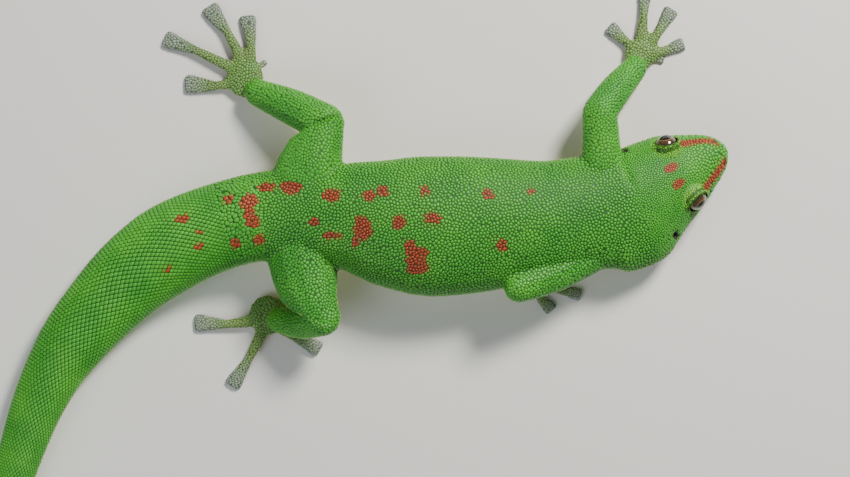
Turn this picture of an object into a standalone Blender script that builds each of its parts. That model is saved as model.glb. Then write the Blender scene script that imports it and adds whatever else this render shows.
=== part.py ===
"""Madagascar day gecko, life size and still, spread flat on the floor as it clung to a pane of glass.

Sizes are millimetres until the meshes are made. A place is given as (back, left, up): how far behind
the tip of the snout it is, how far to the animal's own left of it, and how high above the floor.
The head looks along +X, the back is up, and the animal's left is +Y.
"""

from math import cos, pi, sin

import bmesh
import bpy
import numpy as np
from mathutils import Matrix, Vector

MILLIMETRE = 0.001
GAP = 0.3  # left between two pieces that meet

# Driving lengths along the midline, from the tip of the snout.
HEAD_END = 26.5
NECK_END = 35.5
VENT = 119.0
TAIL_CUTS = (150.0, 184.0, 219.0)
TAIL_END = 256.9

# The midline seen from above: (back, left). The head is turned to the left, the tail swept to the right.
MIDLINE = (
    (0.2, 0.9), (6.5, -2.3), (13.2, -5.9), (20.0, -9.5), (24.5, -11.9), (29.0, -13.6), (34.5, -15.2),
    (44.0, -17.0), (56.5, -18.0), (65.2, -18.5), (74.0, -18.7), (84.0, -18.0), (94.0, -16.3),
    (101.5, -15.8), (109.0, -15.7), (115.2, -16.1), (122.0, -17.4), (128.0, -19.3), (138.2, -23.8),
    (147.8, -30.6), (156.0, -38.8), (163.2, -47.4), (168.5, -55.8), (172.4, -64.0), (175.6, -72.8),
    (178.0, -80.7), (179.8, -89.5), (180.3, -98.3), (179.5, -107.0), (177.8, -115.0), (175.3, -122.0),
)

# The trunk across: (distance, half width left, half width right, lowest, widest level, top).
# The tail's underside is cut off flat at the floor.
SECTIONS = (
    (0.0, 0.0, 0.0, 6.0, 6.0, 6.0),
    (0.5, 2.2, 2.2, 4.2, 6.0, 7.8),
    (1.5, 3.7, 3.7, 3.2, 6.0, 8.9),
    (3.6, 5.4, 5.4, 2.7, 6.0, 10.1),
    (7.0, 7.2, 7.4, 2.4, 6.0, 11.5),
    (10.8, 9.3, 9.6, 2.3, 6.1, 13.1),
    (14.7, 10.9, 11.5, 2.2, 6.3, 14.5),
    (18.6, 11.6, 13.4, 2.1, 6.5, 15.5),
    (22.3, 12.1, 15.4, 2.0, 6.8, 16.2),
    (27.4, 13.2, 17.4, 2.0, 7.4, 16.8),
    (32.2, 13.7, 17.3, 2.0, 8.2, 17.3),
    (38.0, 14.3, 14.2, 2.0, 9.2, 18.2),
    (47.6, 14.8, 14.2, 1.8, 10.2, 20.0),
    (60.2, 16.4, 16.1, 1.6, 10.8, 21.6),
    (68.9, 17.3, 17.0, 1.5, 11.0, 22.2),
    (77.7, 17.5, 17.4, 1.5, 11.1, 22.4),
    (87.7, 16.4, 15.8, 1.6, 10.9, 21.8),
    (97.9, 13.7, 13.3, 2.0, 10.6, 20.6),
    (105.4, 11.9, 12.2, 2.2, 10.4, 19.4),
    (112.9, 11.4, 11.6, 2.3, 10.1, 18.6),
    (119.1, 11.2, 11.4, 2.2, 9.7, 18.0),
    (126.0, 10.9, 11.0, 1.7, 8.9, 17.0),
    (132.3, 11.0, 11.0, 1.1, 8.0, 16.0),
    (143.5, 11.3, 11.3, 0.2, 6.8, 14.8),
    (155.1, 10.6, 10.6, -0.2, 6.0, 13.4),
    (167.0, 9.5, 9.5, -0.3, 5.4, 12.0),
    (177.8, 8.6, 8.6, -0.3, 4.9, 10.8),
    (188.0, 7.4, 7.4, -0.3, 4.3, 9.5),
    (196.8, 6.6, 6.6, -0.25, 3.9, 8.5),
    (206.6, 5.9, 5.9, -0.25, 3.5, 7.6),
    (214.5, 5.3, 5.3, -0.2, 3.1, 6.8),
    (232.5, 3.7, 3.7, -0.15, 2.2, 4.9),
    (247.0, 2.0, 2.0, -0.1, 1.2, 2.8),
    (254.5, 0.9, 0.9, 0.0, 0.7, 1.5),
    (256.9, 0.0, 0.0, 0.6, 0.6, 0.6),
)
BELLY_SQUARENESS = 2.35  # 2 is an ellipse, more is boxier
BACK_SQUARENESS = 2.0

# The mouth is a groove at the head's widest level, between two slightly raised lips.
MOUTH_END = 17.5
MOUTH_FADE = 2.5
MOUTH_DEPTH = 0.55
LIP_RAISE = 0.14
LIP_ANGLE = 0.07

EYE_AT = 13.4  # distance along the midline
EYE_ASIDE = 7.3
EYE_UP = 11.1
EYE_RADIUS = 2.8
EYE_LOOK = Vector((0.26, 0.89, 0.37)).normalized()  # forward, outward, up
ORBIT_RADIUS = 3.6
ORBIT_INSET = 1.1
LID_RADIUS = 3.0
LID_THICKNESS = 0.55
LID_OUT = 0.9

NOSTRIL = (1.9, 2.9, 7.9)  # distance, aside, up
NOSTRIL_RADIUS = 0.45
EAR = (24.6, 12.2, 10.0)
EAR_SIZE = (0.8, 1.6, 1.4)  # half length, depth and half height

# Each leg: upper and lower segment as (back, left, up, half width) points. The sole is (back, left,
# half length, half width). Each toe is (root back, root left, tip back, tip left, half width, pad length),
# the innermost one first, which is only a stub.
LEGS = {
    "front_left": {
        "upper": ((31.5, -10.0, 10.0, 6.2), (31.6, 0.0, 10.6, 5.0), (32.1, 9.6, 11.2, 4.5)),
        "lower": ((32.1, 9.6, 11.2, 4.4), (27.6, 15.6, 7.6, 4.1), (22.9, 20.8, 3.6, 3.3)),
        "sole": (21.3, 24.6, 4.2, 4.2),
        "toes": (
            (18.3, 23.5, 15.0, 22.8, 1.0, 2.4), (17.3, 25.0, 10.0, 27.4, 1.9, 5.8), (18.0, 28.3, 13.0, 36.2, 2.1, 6.4),
            (20.8, 29.2, 19.8, 42.0, 2.1, 6.6), (24.1, 27.2, 29.2, 31.8, 2.1, 5.8),
        ),
    },
    "front_right": {
        "upper": ((34.0, -25.0, 10.5, 5.2), (43.5, -30.3, 13.0, 4.7), (52.3, -33.6, 15.0, 4.1)),
        "lower": ((52.3, -33.6, 15.0, 4.0), (50.8, -33.4, 9.4, 3.7), (49.0, -32.8, 3.7, 3.1)),
        "sole": (47.5, -32.2, 4.2, 4.2),
        "toes": (
            (46.4, -29.0, 45.2, -27.0, 0.9, 2.0), (44.9, -29.3, 40.8, -26.4, 1.8, 5.0), (44.0, -31.0, 37.2, -29.9, 1.9, 5.6),
            (44.1, -33.7, 35.8, -35.9, 1.8, 5.4), (46.8, -35.5, 43.2, -39.8, 1.9, 5.0),
        ),
    },
    "hind_left": {
        "upper": ((106.5, -15.0, 10.6, 9.6), (104.0, -5.0, 11.0, 8.6), (99.8, 6.8, 11.8, 5.0)),
        "lower": ((99.8, 6.8, 11.8, 5.0), (108.0, 10.9, 8.2, 4.7), (117.0, 14.8, 4.0, 3.6)),
        "sole": (120.4, 18.6, 5.0, 5.2),
        "toes": (
            (117.4, 21.4, 115.0, 23.0, 1.1, 2.4), (119.0, 24.0, 120.0, 34.6, 2.3, 7.0), (122.1, 25.0, 129.8, 36.9, 2.55, 7.4),
            (124.4, 21.6, 141.0, 28.8, 2.4, 7.6), (124.6, 17.2, 135.8, 17.2, 2.6, 7.4),
        ),
    },
    "hind_right": {
        "upper": ((106.3, -19.0, 10.6, 9.4), (104.8, -31.0, 11.0, 8.3), (103.4, -36.0, 12.0, 7.2), (100.4, -41.2, 13.2, 4.7)),
        "lower": ((100.4, -41.2, 13.2, 4.7), (105.6, -42.6, 8.8, 4.1), (111.4, -42.0, 4.2, 3.4)),
        "sole": (114.8, -40.9, 5.0, 5.4),
        "toes": (
            (110.8, -37.2, 108.6, -36.9, 1.0, 2.2), (110.0, -40.0, 102.1, -39.5, 2.1, 6.4), (110.5, -44.7, 101.5, -49.8, 2.2, 7.2),
            (116.8, -46.6, 124.0, -59.0, 2.3, 7.2), (120.4, -42.6, 133.4, -42.9, 2.4, 7.6),
        ),
    },
}
LEG_FLATNESS = {"front": 0.92, "hind": 0.74}  # half height over half width at the root
SOLE_HEIGHT = 2.7
SOLE_CLEARANCE = 0.35
TOE_SHAFT = (1.25, 1.1, 1.5)  # half width, half height, middle height
TOE_PAD = (0.95, 0.85)  # half height, middle height
STUB = 0.6  # the innermost toe's height against the others'

TRUNK_SIDES = 30
HEAD_SIDES = 30
TAIL_SIDES = 20
LEG_SIDES = 12
TOE_SIDES = 10

GREEN = (0.13, 0.42, 0.045, 1)
LEG_GREEN = (0.17, 0.40, 0.06, 1)
SOLE = (0.42, 0.34, 0.13, 1)
PAD = (0.45, 0.46, 0.50, 1)
EYE = (0.03, 0.015, 0.01, 1)


def clear_scene():
    for thing in list(bpy.data.objects):
        bpy.data.objects.remove(thing, do_unlink=True)


def through(keys, values, at, limited=False):
    """Smooth curve through values at keys, read at the places asked for. Limited, it never overshoots."""
    keys = np.asarray(keys, float)
    values = np.asarray(values, float).reshape(len(keys), -1)
    steps = np.diff(keys)[:, None]
    slopes = np.diff(values, axis=0) / steps
    tangents = np.empty_like(values)
    tangents[1:-1] = (slopes[:-1] * steps[1:] + slopes[1:] * steps[:-1]) / (steps[:-1] + steps[1:])
    tangents[0], tangents[-1] = slopes[0], slopes[-1]
    if limited:
        opposed = slopes[:-1] * slopes[1:] <= 0
        tangents[1:-1][opposed] = 0
        ceiling = 3 * np.minimum(abs(slopes[:-1]), abs(slopes[1:]))
        tangents[1:-1] = np.clip(tangents[1:-1], -ceiling, ceiling)
    at = np.clip(np.asarray(at, float), keys[0], keys[-1])
    span = np.clip(np.searchsorted(keys, at, side="right") - 1, 0, len(keys) - 2)
    width = steps[span]
    t = (at[:, None] - keys[span][:, None]) / width
    return (
        (2 * t**3 - 3 * t**2 + 1) * values[span]
        + (t**3 - 2 * t**2 + t) * width * tangents[span]
        + (3 * t**2 - 2 * t**3) * values[span + 1]
        + (t**3 - t**2) * width * tangents[span + 1]
    )


def chord_lengths(points):
    points = np.asarray(points, float)
    return np.concatenate([[0], np.cumsum(np.linalg.norm(np.diff(points, axis=0), axis=1))])


MIDLINE_KEYS = chord_lengths(MIDLINE)
MIDLINE_KEYS *= TAIL_END / MIDLINE_KEYS[-1]


def midline(distance):
    """(back, left) of the midline and the unit direction it runs in there, away from the snout."""
    here, ahead = through(MIDLINE_KEYS, MIDLINE, [distance, distance + 0.5])
    if distance + 0.5 > MIDLINE_KEYS[-1]:
        here, ahead = through(MIDLINE_KEYS, MIDLINE, [distance - 0.5, distance])
        return ahead, (ahead - here) / np.linalg.norm(ahead - here)
    return here, (ahead - here) / np.linalg.norm(ahead - here)


def section(distance):
    """Half width left and right, lowest, widest level and top of the trunk at this distance."""
    table = np.array(SECTIONS)
    return through(table[:, 0], table[:, 1:], [distance], limited=True)[0]


def mouth_depth(distance):
    return MOUTH_DEPTH * min(max((MOUTH_END - distance) / MOUTH_FADE, 0), 1)


def power(value, squareness):
    return np.sign(value) * abs(value) ** (2 / squareness)


def trunk_ring(distance, angles, grow=0.0):
    """One closed outline across the trunk, as points (back, left, up)."""
    (back, left), (along_back, along_left) = midline(distance)
    half_left, half_right, low, level, top = section(distance)
    groove = mouth_depth(distance)
    ring = []
    for angle in angles:
        half = half_left if cos(angle) > 0 else half_right
        rise = top - level if sin(angle) > 0 else level - low
        squareness = BACK_SQUARENESS if sin(angle) > 0 else BELLY_SQUARENESS
        across = power(cos(angle), squareness) * (half + grow)
        up = level + power(sin(angle), squareness) * (rise + grow)
        from_mouth = min(abs(sin(angle)), 1)
        if from_mouth < 1e-6:
            across -= np.sign(across) * min(groove, abs(across))
        elif from_mouth < sin(LIP_ANGLE * 1.5):
            across += np.sign(across) * LIP_RAISE * groove / MOUTH_DEPTH
        ring.append((back - across * along_left, left + across * along_back, max(up, 0)))
    return ring


def even_angles(sides):
    return [2 * pi * i / sides for i in range(sides)]


def head_angles():
    """Evenly spaced, with a close pair either side of each mouth line for the lips."""
    extra = [LIP_ANGLE, -LIP_ANGLE, pi - LIP_ANGLE, pi + LIP_ANGLE]
    return sorted(angle % (2 * pi) for angle in even_angles(HEAD_SIDES) + extra)


def to_world(point):
    back, left, up = point
    return Vector((-back, left, up)) * MILLIMETRE


def material(name, colour, roughness):
    made = bpy.data.materials.get(name) or bpy.data.materials.new(name)
    made.use_nodes = True
    shader = made.node_tree.nodes["Principled BSDF"]
    shader.inputs["Base Color"].default_value = colour
    shader.inputs["Roughness"].default_value = roughness
    shader.inputs["Metallic"].default_value = 0.0
    return made


def finished(name, mesh_data, finish=None):
    """A smooth-shaded object whose faces point out."""
    mesh_data.normal_update()
    bmesh.ops.recalc_face_normals(mesh_data, faces=mesh_data.faces)
    if mesh_data.calc_volume(signed=True) < 0:
        bmesh.ops.reverse_faces(mesh_data, faces=mesh_data.faces)
    mesh = bpy.data.meshes.new(name)
    mesh_data.to_mesh(mesh)
    mesh_data.free()
    mesh.shade_smooth()
    mesh.set_sharp_from_angle(angle=0.7)
    if finish:
        mesh.materials.append(finish)
    thing = bpy.data.objects.new(name, mesh)
    bpy.context.scene.collection.objects.link(thing)
    return thing


def skinned(name, rings, finish=None):
    """A closed body through the rings. A ring whose points coincide becomes a pointed end."""
    mesh_data = bmesh.new()
    rows = []
    for ring in rings:
        spread = max((Vector(p) - Vector(ring[0])).length for p in ring)
        kept = ring[:1] if spread < 1e-4 else ring
        rows.append([mesh_data.verts.new(to_world(point)) for point in kept])
    for near, far in zip(rows, rows[1:]):
        count = max(len(near), len(far))
        for i in range(count):
            j = (i + 1) % count
            if len(near) == 1:
                mesh_data.faces.new((near[0], far[i], far[j]))
            elif len(far) == 1:
                mesh_data.faces.new((near[j], near[i], far[0]))
            else:
                mesh_data.faces.new((near[j], near[i], far[i], far[j]))
    for row in (rows[0], rows[-1]):
        if len(row) > 1:
            mesh_data.faces.new(row)
    return finished(name, mesh_data, finish)


def trunk_piece(name, start, end, spacing, angles, finish=None, grow=0.0):
    count = max(int(round((end - start) / spacing)), 2)
    distances = [start + (end - start) * i / count for i in range(count + 1)]
    if start == 0:
        distances[1:2] = [0.15, 0.5, distances[1]]
    return skinned(name, [trunk_ring(d, angles, grow) for d in distances], finish)


def tube(name, points, flatness, sides, finish=None, grow=0.0, clamp=0.0):
    """A round-ended limb through (back, left, up, half width) points, flatness being height over width."""
    points = np.asarray(points, float)
    keys = chord_lengths(points[:, :3])
    first, last = points[0, 3] + grow, points[-1, 3] + grow
    rounding = [0, 0.2, 0.6, 1]
    inner = np.linspace(0, keys[-1], 7)
    places, swell = [], []
    for share in rounding[:-1]:
        places.append(-first * (1 - share))
        swell.append((1 - (1 - share) ** 2) ** 0.5)
    places += list(inner)
    swell += [1.0] * len(inner)
    for share in reversed(rounding[:-1]):
        places.append(keys[-1] + last * (1 - share))
        swell.append((1 - (1 - share) ** 2) ** 0.5)
    starts, ends = unit(points[1, :3] - points[0, :3]), unit(points[-1, :3] - points[-2, :3])
    rings = []
    for place, full in zip(places, swell):
        *centre, half = through(keys, points, [place])[0]
        before, after = through(keys, points[:, :3], [place - 0.4, place + 0.4])
        centre = np.array(centre)
        if place < 0:
            centre, along = points[0, :3] + starts * place, starts
        elif place > keys[-1]:
            centre, along = points[-1, :3] + ends * (place - keys[-1]), ends
        else:
            along = unit(after - before)
        side = unit(np.cross(along, (0, 0, 1)))
        up = np.cross(side, along)
        wide = (half + grow) * full
        high = (half * flatness + grow) * full
        rings.append([
            floored(centre + side * wide * cos(angle) + up * high * sin(angle), clamp)
            for angle in even_angles(sides)
        ])
    return skinned(name, rings, finish)


def unit(vector):
    return vector / np.linalg.norm(vector)


def floored(point, clamp):
    return (point[0], point[1], max(point[2], clamp))


def sole_solid(name, leg, grow=0.0, finish=None):
    """A low dome under the wrist, a little clear of the floor."""
    back, left, half_length, half_width = leg["sole"]
    levels = 7
    rings = []
    for i in range(levels + 1):
        swing = -pi / 2 + pi * i / levels
        spread = cos(swing) ** 0.7 if 0 < i < levels else 0
        up = SOLE_CLEARANCE + SOLE_HEIGHT / 2 + sin(swing) * (SOLE_HEIGHT / 2 + grow)
        rings.append([
            (
                back + cos(angle) * (half_length + grow) * spread,
                left + sin(angle) * (half_width + grow) * spread,
                up,
            )
            for angle in even_angles(LEG_SIDES)
        ])
    return skinned(name, rings, finish)


def toe_solid(name, leg, toe, finish=None, grow=0.0):
    """A narrow shaft that widens into a flat climbing pad with a square end, whose underside is on the floor."""
    back, left, _, _ = leg["sole"]
    *places, pad_half, pad = toe
    centre, root, tip = np.array((back, left)), np.array(places[:2]), np.array(places[2:])
    path = np.array((centre * 0.6 + root * 0.4, root, tip))
    keys = chord_lengths(path)
    low = STUB if toe is leg["toes"][0] else 1.0
    shaft_half, shaft_high, shaft_middle = TOE_SHAFT
    shaft_half = min(shaft_half, pad_half * 0.8)
    pad_high, pad_middle = TOE_PAD
    length = keys[-1]
    neck = max(length - pad - 0.8, keys[1] + 0.3)
    stations = (
        (0.0, shaft_half * 1.7, shaft_high, shaft_middle),
        (keys[1], shaft_half * 1.35, shaft_high, shaft_middle),
        (neck, shaft_half, shaft_high, shaft_middle * 0.9),
        (length - pad * 0.7, pad_half * 0.76, pad_high * 1.05, pad_middle),
        (length - pad * 0.35, pad_half * 0.94, pad_high, pad_middle),
        (length - pad * 0.1, pad_half, pad_high * 0.85, pad_middle * 0.85),
        (length - pad * 0.02, pad_half * 0.86, pad_high * 0.7, pad_middle * 0.75),
        (length + grow, pad_half * 0.66, pad_high * 0.45, pad_middle * 0.6),
    )
    rings = []
    for distance, half, high, middle in stations:
        inside = min(distance, length)
        here = through(keys, path, [inside])[0]
        before, after = through(keys, path, [inside - 0.3, inside + 0.3])
        along = unit(after - before)
        here = here + along * max(distance - length, 0)
        ring = []
        for angle in even_angles(TOE_SIDES):
            across = (half + grow) * power(cos(angle), 2.5)
            up = middle * low + power(sin(angle), 2.5) * (high * low + grow)
            ring.append((here[0] - across * along[1], here[1] + across * along[0], max(up, -grow)))
        rings.append(ring)
    return skinned(name, rings, finish)


def ball(name, centre, radii, turn=None, finish=None, rounds=20, levels=12):
    mesh_data = bmesh.new()
    bmesh.ops.create_uvsphere(mesh_data, u_segments=rounds, v_segments=levels, radius=1)
    shape = Matrix.Diagonal((*[r * MILLIMETRE for r in radii], 1))
    place = Matrix.Translation(to_world(centre))
    bmesh.ops.transform(mesh_data, matrix=place @ (turn or Matrix()) @ shape, verts=mesh_data.verts)
    return finished(name, mesh_data, finish)


def ring_solid(name, centre, axis, radius, thickness):
    """A torus round the axis."""
    rounds, sides = 24, 8
    turn = axis.to_track_quat("Z", "Y").to_matrix()
    mesh_data = bmesh.new()
    rows = []
    for i in range(rounds):
        around = 2 * pi * i / rounds
        row = []
        for j in range(sides):
            about = 2 * pi * j / sides
            reach = radius + thickness * cos(about)
            local = Vector((cos(around) * reach, sin(around) * reach, sin(about) * thickness))
            row.append(mesh_data.verts.new(to_world(centre) + turn @ local * MILLIMETRE))
        rows.append(row)
    for i in range(rounds):
        near, far = rows[i], rows[(i + 1) % rounds]
        for j in range(sides):
            k = (j + 1) % sides
            mesh_data.faces.new((near[j], far[j], far[k], near[k]))
    return finished(name, mesh_data)


def keep_largest(mesh):
    """Drops every loose scrap that a cut leaves, so that the node is one closed surface."""
    mesh_data = bmesh.new()
    mesh_data.from_mesh(mesh)
    bmesh.ops.remove_doubles(mesh_data, verts=mesh_data.verts, dist=1e-6)
    left, islands = set(mesh_data.verts), []
    while left:
        seed = left.pop()
        island, edge = {seed}, [seed]
        while edge:
            vertex = edge.pop()
            for other in (e.other_vert(vertex) for e in vertex.link_edges):
                if other in left:
                    left.discard(other)
                    island.add(other)
                    edge.append(other)
        islands.append(island)
    islands.sort(key=len)
    for island in islands[:-1]:
        bmesh.ops.delete(mesh_data, geom=list(island), context="VERTS")
    mesh_data.to_mesh(mesh)
    mesh_data.free()


def combined(target, others, operation):
    """Joins the others to the target, or cuts them from it, and removes them."""
    group = bpy.data.collections.new("operands")
    for other in others:
        group.objects.link(other)
    change = target.modifiers.new(operation, "BOOLEAN")
    change.operation = operation
    change.operand_type = "COLLECTION"
    change.collection = group
    change.solver = "MANIFOLD"
    graph = bpy.context.evaluated_depsgraph_get()
    mesh = bpy.data.meshes.new_from_object(target.evaluated_get(graph))
    target.modifiers.clear()
    target.data = mesh
    keep_largest(mesh)
    for other in others:
        bpy.data.objects.remove(other, do_unlink=True)
    bpy.data.collections.remove(group)
    return target


def beside(distance, aside, up, side):
    """A place off the midline, side being 1 for the left and -1 for the right."""
    (back, left), (along_back, along_left) = midline(distance)
    return (back - aside * side * along_left, left + aside * side * along_back, up)


def head_turned(direction, side):
    """A direction given as forward, outward, up in the head's own frame, turned into the world."""
    _, (along_back, along_left) = midline(EYE_AT)
    forward = Vector((along_back, -along_left, 0))
    outward = Vector((along_left, along_back, 0)) * side
    return (forward * direction[0] + outward * direction[1] + Vector((0, 0, direction[2]))).normalized()


def make_head(green, dark):
    head = trunk_piece("head", 0, HEAD_END - GAP / 2, 1.5, head_angles(), green)
    raised, cut = [], []
    for side in (1, -1):
        look = head_turned(EYE_LOOK, side)
        step = Vector((-look.x, look.y, look.z))
        eye = Vector(beside(EYE_AT, EYE_ASIDE, EYE_UP, side))
        raised.append(ball("orbit", eye - step * ORBIT_INSET, [ORBIT_RADIUS] * 3))
        raised.append(ring_solid("lid", eye + step * LID_OUT, look, LID_RADIUS, LID_THICKNESS))
        cut.append(ball("socket", eye, [EYE_RADIUS + GAP] * 3, rounds=24, levels=14))
        cut.append(ball("nostril", beside(*NOSTRIL, side), [NOSTRIL_RADIUS] * 3, rounds=10, levels=6))
        outward = head_turned((0, 1, 0), side)
        turn = outward.to_track_quat("Y", "Z").to_matrix().to_4x4()
        cut.append(ball("ear", beside(*EAR, side), EAR_SIZE, turn, rounds=14, levels=8))
        name = "eye_left" if side == 1 else "eye_right"
        ball(name, eye, [EYE_RADIUS] * 3, finish=dark, rounds=20, levels=12)
    combined(head, raised, "UNION")
    combined(head, cut, "DIFFERENCE")


def make_trunk(green):
    trunk_piece("neck", HEAD_END + GAP / 2, NECK_END - GAP / 2, 2.2, even_angles(TRUNK_SIDES), green)
    trunk_piece("torso", NECK_END + GAP / 2, VENT - GAP / 2, 4.2, even_angles(TRUNK_SIDES), green)
    edges = (VENT, *TAIL_CUTS, TAIL_END)
    names = ("tail_base", "tail_middle", "tail_rear", "tail_tip")
    for name, start, end in zip(names, edges, edges[1:]):
        stop = end if name == "tail_tip" else end - GAP / 2
        trunk_piece(name, start + GAP / 2, stop, 3.6, even_angles(TAIL_SIDES), green)


def joint_plane(leg):
    """The knee or elbow, and the direction halfway between the two segments that meet there."""
    upper, lower = (np.array(leg[part])[:, :3] for part in ("upper", "lower"))
    return lower[0], unit(unit(upper[-1] - upper[-2]) + unit(lower[1] - lower[0]))


def beyond(point, direction):
    """A block that fills everything near the point on the side that the direction points to."""
    mesh_data = bmesh.new()
    bmesh.ops.create_cube(mesh_data, size=80 * MILLIMETRE)
    world = Vector((-direction[0], direction[1], direction[2]))
    turn = world.to_track_quat("Z", "Y").to_matrix().to_4x4()
    place = Matrix.Translation(to_world(point) + world * 40 * MILLIMETRE)
    bmesh.ops.transform(mesh_data, matrix=place @ turn, verts=mesh_data.verts)
    return finished("block", mesh_data)


def make_leg(name, leg, finishes):
    flatness = LEG_FLATNESS[name.split("_")[0]]
    front = name.startswith("front")
    joint, onward = joint_plane(leg)

    def around_trunk():
        return trunk_piece("trunk_cutter", 0, TAIL_END, 3.5, even_angles(TRUNK_SIDES), grow=GAP)

    def around_lower():
        return tube("lower_cutter", leg["lower"], 0.95, LEG_SIDES, grow=GAP)

    def around_sole():
        return sole_solid("sole_cutter", leg, grow=GAP)

    upper = tube(("upper_arm_" if front else "thigh_") + name, leg["upper"], flatness, LEG_SIDES, finishes["leg"])
    combined(upper, [around_trunk(), beyond(joint - onward * GAP / 2, onward)], "DIFFERENCE")
    lower = tube(("forearm_" if front else "shin_") + name, leg["lower"], 0.95, LEG_SIDES, finishes["leg"], clamp=0.4)
    combined(lower, [around_trunk(), beyond(joint + onward * GAP / 2, -onward), around_sole()], "DIFFERENCE")
    sole = sole_solid(("hand_" if front else "foot_") + name, leg, finish=finishes["sole"])
    combined(sole, [around_trunk()], "DIFFERENCE")
    for number, toe in enumerate(leg["toes"], 1):
        digit = toe_solid(f"toe_{number}_{name}", leg, toe, finishes["pad"])
        others = [toe_solid("toe_cutter", leg, other, grow=GAP) for other in leg["toes"][: number - 1]]
        combined(digit, [around_trunk(), around_lower(), around_sole(), *others], "DIFFERENCE")


def centre_over_floor():
    """Moves everything so that the origin lies on the floor under the middle of the whole animal."""
    meshes = [thing.data for thing in bpy.data.objects]
    corners = np.array([vertex.co for mesh in meshes for vertex in mesh.vertices])
    middle = (corners.min(axis=0) + corners.max(axis=0)) / 2
    shift = Matrix.Translation((-middle[0], -middle[1], 0))
    for mesh in meshes:
        mesh.transform(shift)


def main():
    clear_scene()
    green = material("back_skin", GREEN, 0.55)
    finishes = {
        "leg": material("leg_skin", LEG_GREEN, 0.55),
        "sole": material("sole_skin", SOLE, 0.65),
        "pad": material("toe_pad", PAD, 0.6),
    }
    make_head(green, material("eye", EYE, 0.08))
    make_trunk(green)
    for name, leg in LEGS.items():
        make_leg(name, leg, finishes)
    centre_over_floor()


main()
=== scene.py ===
import math
import time

import bmesh
import bpy
import numpy as np
from mathutils import Matrix, Vector
from mathutils.bvhtree import BVHTree
from mathutils.kdtree import KDTree


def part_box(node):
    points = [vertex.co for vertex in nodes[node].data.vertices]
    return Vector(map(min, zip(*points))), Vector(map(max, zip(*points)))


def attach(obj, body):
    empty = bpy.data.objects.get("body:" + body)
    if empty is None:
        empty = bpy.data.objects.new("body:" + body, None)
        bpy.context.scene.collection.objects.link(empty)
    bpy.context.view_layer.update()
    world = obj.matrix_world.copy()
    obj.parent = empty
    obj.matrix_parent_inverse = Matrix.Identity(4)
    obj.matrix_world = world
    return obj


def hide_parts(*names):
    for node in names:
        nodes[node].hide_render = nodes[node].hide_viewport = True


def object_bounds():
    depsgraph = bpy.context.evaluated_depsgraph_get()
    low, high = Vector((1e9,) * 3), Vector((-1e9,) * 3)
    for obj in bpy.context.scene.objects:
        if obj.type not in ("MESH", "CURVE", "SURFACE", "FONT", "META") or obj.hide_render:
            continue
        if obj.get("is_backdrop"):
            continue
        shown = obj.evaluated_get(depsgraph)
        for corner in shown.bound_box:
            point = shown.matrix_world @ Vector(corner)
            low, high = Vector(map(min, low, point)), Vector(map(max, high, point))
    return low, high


began = time.time()
rng = np.random.default_rng(41)

# Lengths are millimetres up to the point where a mesh is made.
milli = 0.001

# The animal's midline from above, as (behind the snout, to its left), and the distance along it to the end.
midlinePoints = (
    (0.2, 0.9), (6.5, -2.3), (13.2, -5.9), (20.0, -9.5), (24.5, -11.9), (29.0, -13.6), (34.5, -15.2),
    (44.0, -17.0), (56.5, -18.0), (65.2, -18.5), (74.0, -18.7), (84.0, -18.0), (94.0, -16.3),
    (101.5, -15.8), (109.0, -15.7), (115.2, -16.1), (122.0, -17.4), (128.0, -19.3), (138.2, -23.8),
    (147.8, -30.6), (156.0, -38.8), (163.2, -47.4), (168.5, -55.8), (172.4, -64.0), (175.6, -72.8),
    (178.0, -80.7), (179.8, -89.5), (180.3, -98.3), (179.5, -107.0), (177.8, -115.0), (175.3, -122.0),
)
tailEnd = 256.9
vent = 119.0

# Distance, half width, lowest, widest level, top. They tell the belly from the flank and the back, and they place
# the rows of scales, the tail plates and the mouth line.
sections = np.array((
    (0.0, 1.0, 4.2, 6.0, 7.8), (3.6, 5.4, 2.7, 6.0, 10.1), (7.0, 7.3, 2.4, 6.0, 11.5),
    (14.7, 11.2, 2.2, 6.3, 14.5), (22.3, 13.7, 2.0, 6.8, 16.2), (32.2, 15.5, 2.0, 8.2, 17.3),
    (38.0, 14.2, 2.0, 9.2, 18.2), (47.6, 14.5, 1.8, 10.2, 20.0), (60.2, 16.2, 1.6, 10.8, 21.6),
    (77.7, 17.4, 1.5, 11.1, 22.4), (87.7, 16.1, 1.6, 10.9, 21.8), (97.9, 13.5, 2.0, 10.6, 20.6),
    (105.4, 12.0, 2.2, 10.4, 19.4), (119.1, 11.3, 2.2, 9.7, 18.0), (132.3, 11.0, 1.1, 8.0, 16.0),
    (143.5, 11.3, 0.2, 6.8, 14.8), (155.1, 10.6, -0.2, 6.0, 13.4), (177.8, 8.6, -0.3, 4.9, 10.8),
    (196.8, 6.6, -0.25, 3.9, 8.5), (214.5, 5.3, -0.2, 3.1, 6.8), (232.5, 3.7, -0.15, 2.2, 4.9),
    (247.0, 2.0, -0.1, 1.2, 2.8), (256.9, 0.5, 0.0, 0.6, 1.1),
))

skinSettings = {
    "weld": 0.002, "grow": 0.22, "voxel": 0.34, "softness": 0.5, "rounds": 10, "inset": 0.24, "lift": 0.12,
    "faces": 185000, "headBlend": (21.5, 25.5), "headHalfWide": 17,
}
eyeSettings = {"distance": 13.4, "radius": 2.8, "look": (0.26, 0.89, 0.37)}
photoSettings = {"snout": (124, 152), "centre": (425, 238.5), "pixel": 0.25}


def stamp(text):
    print(f"{time.time() - began:6.1f} s  {text}")


def chordKeys(points):
    return np.concatenate([[0], np.cumsum(np.linalg.norm(np.diff(points, axis=0), axis=1))])


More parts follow.
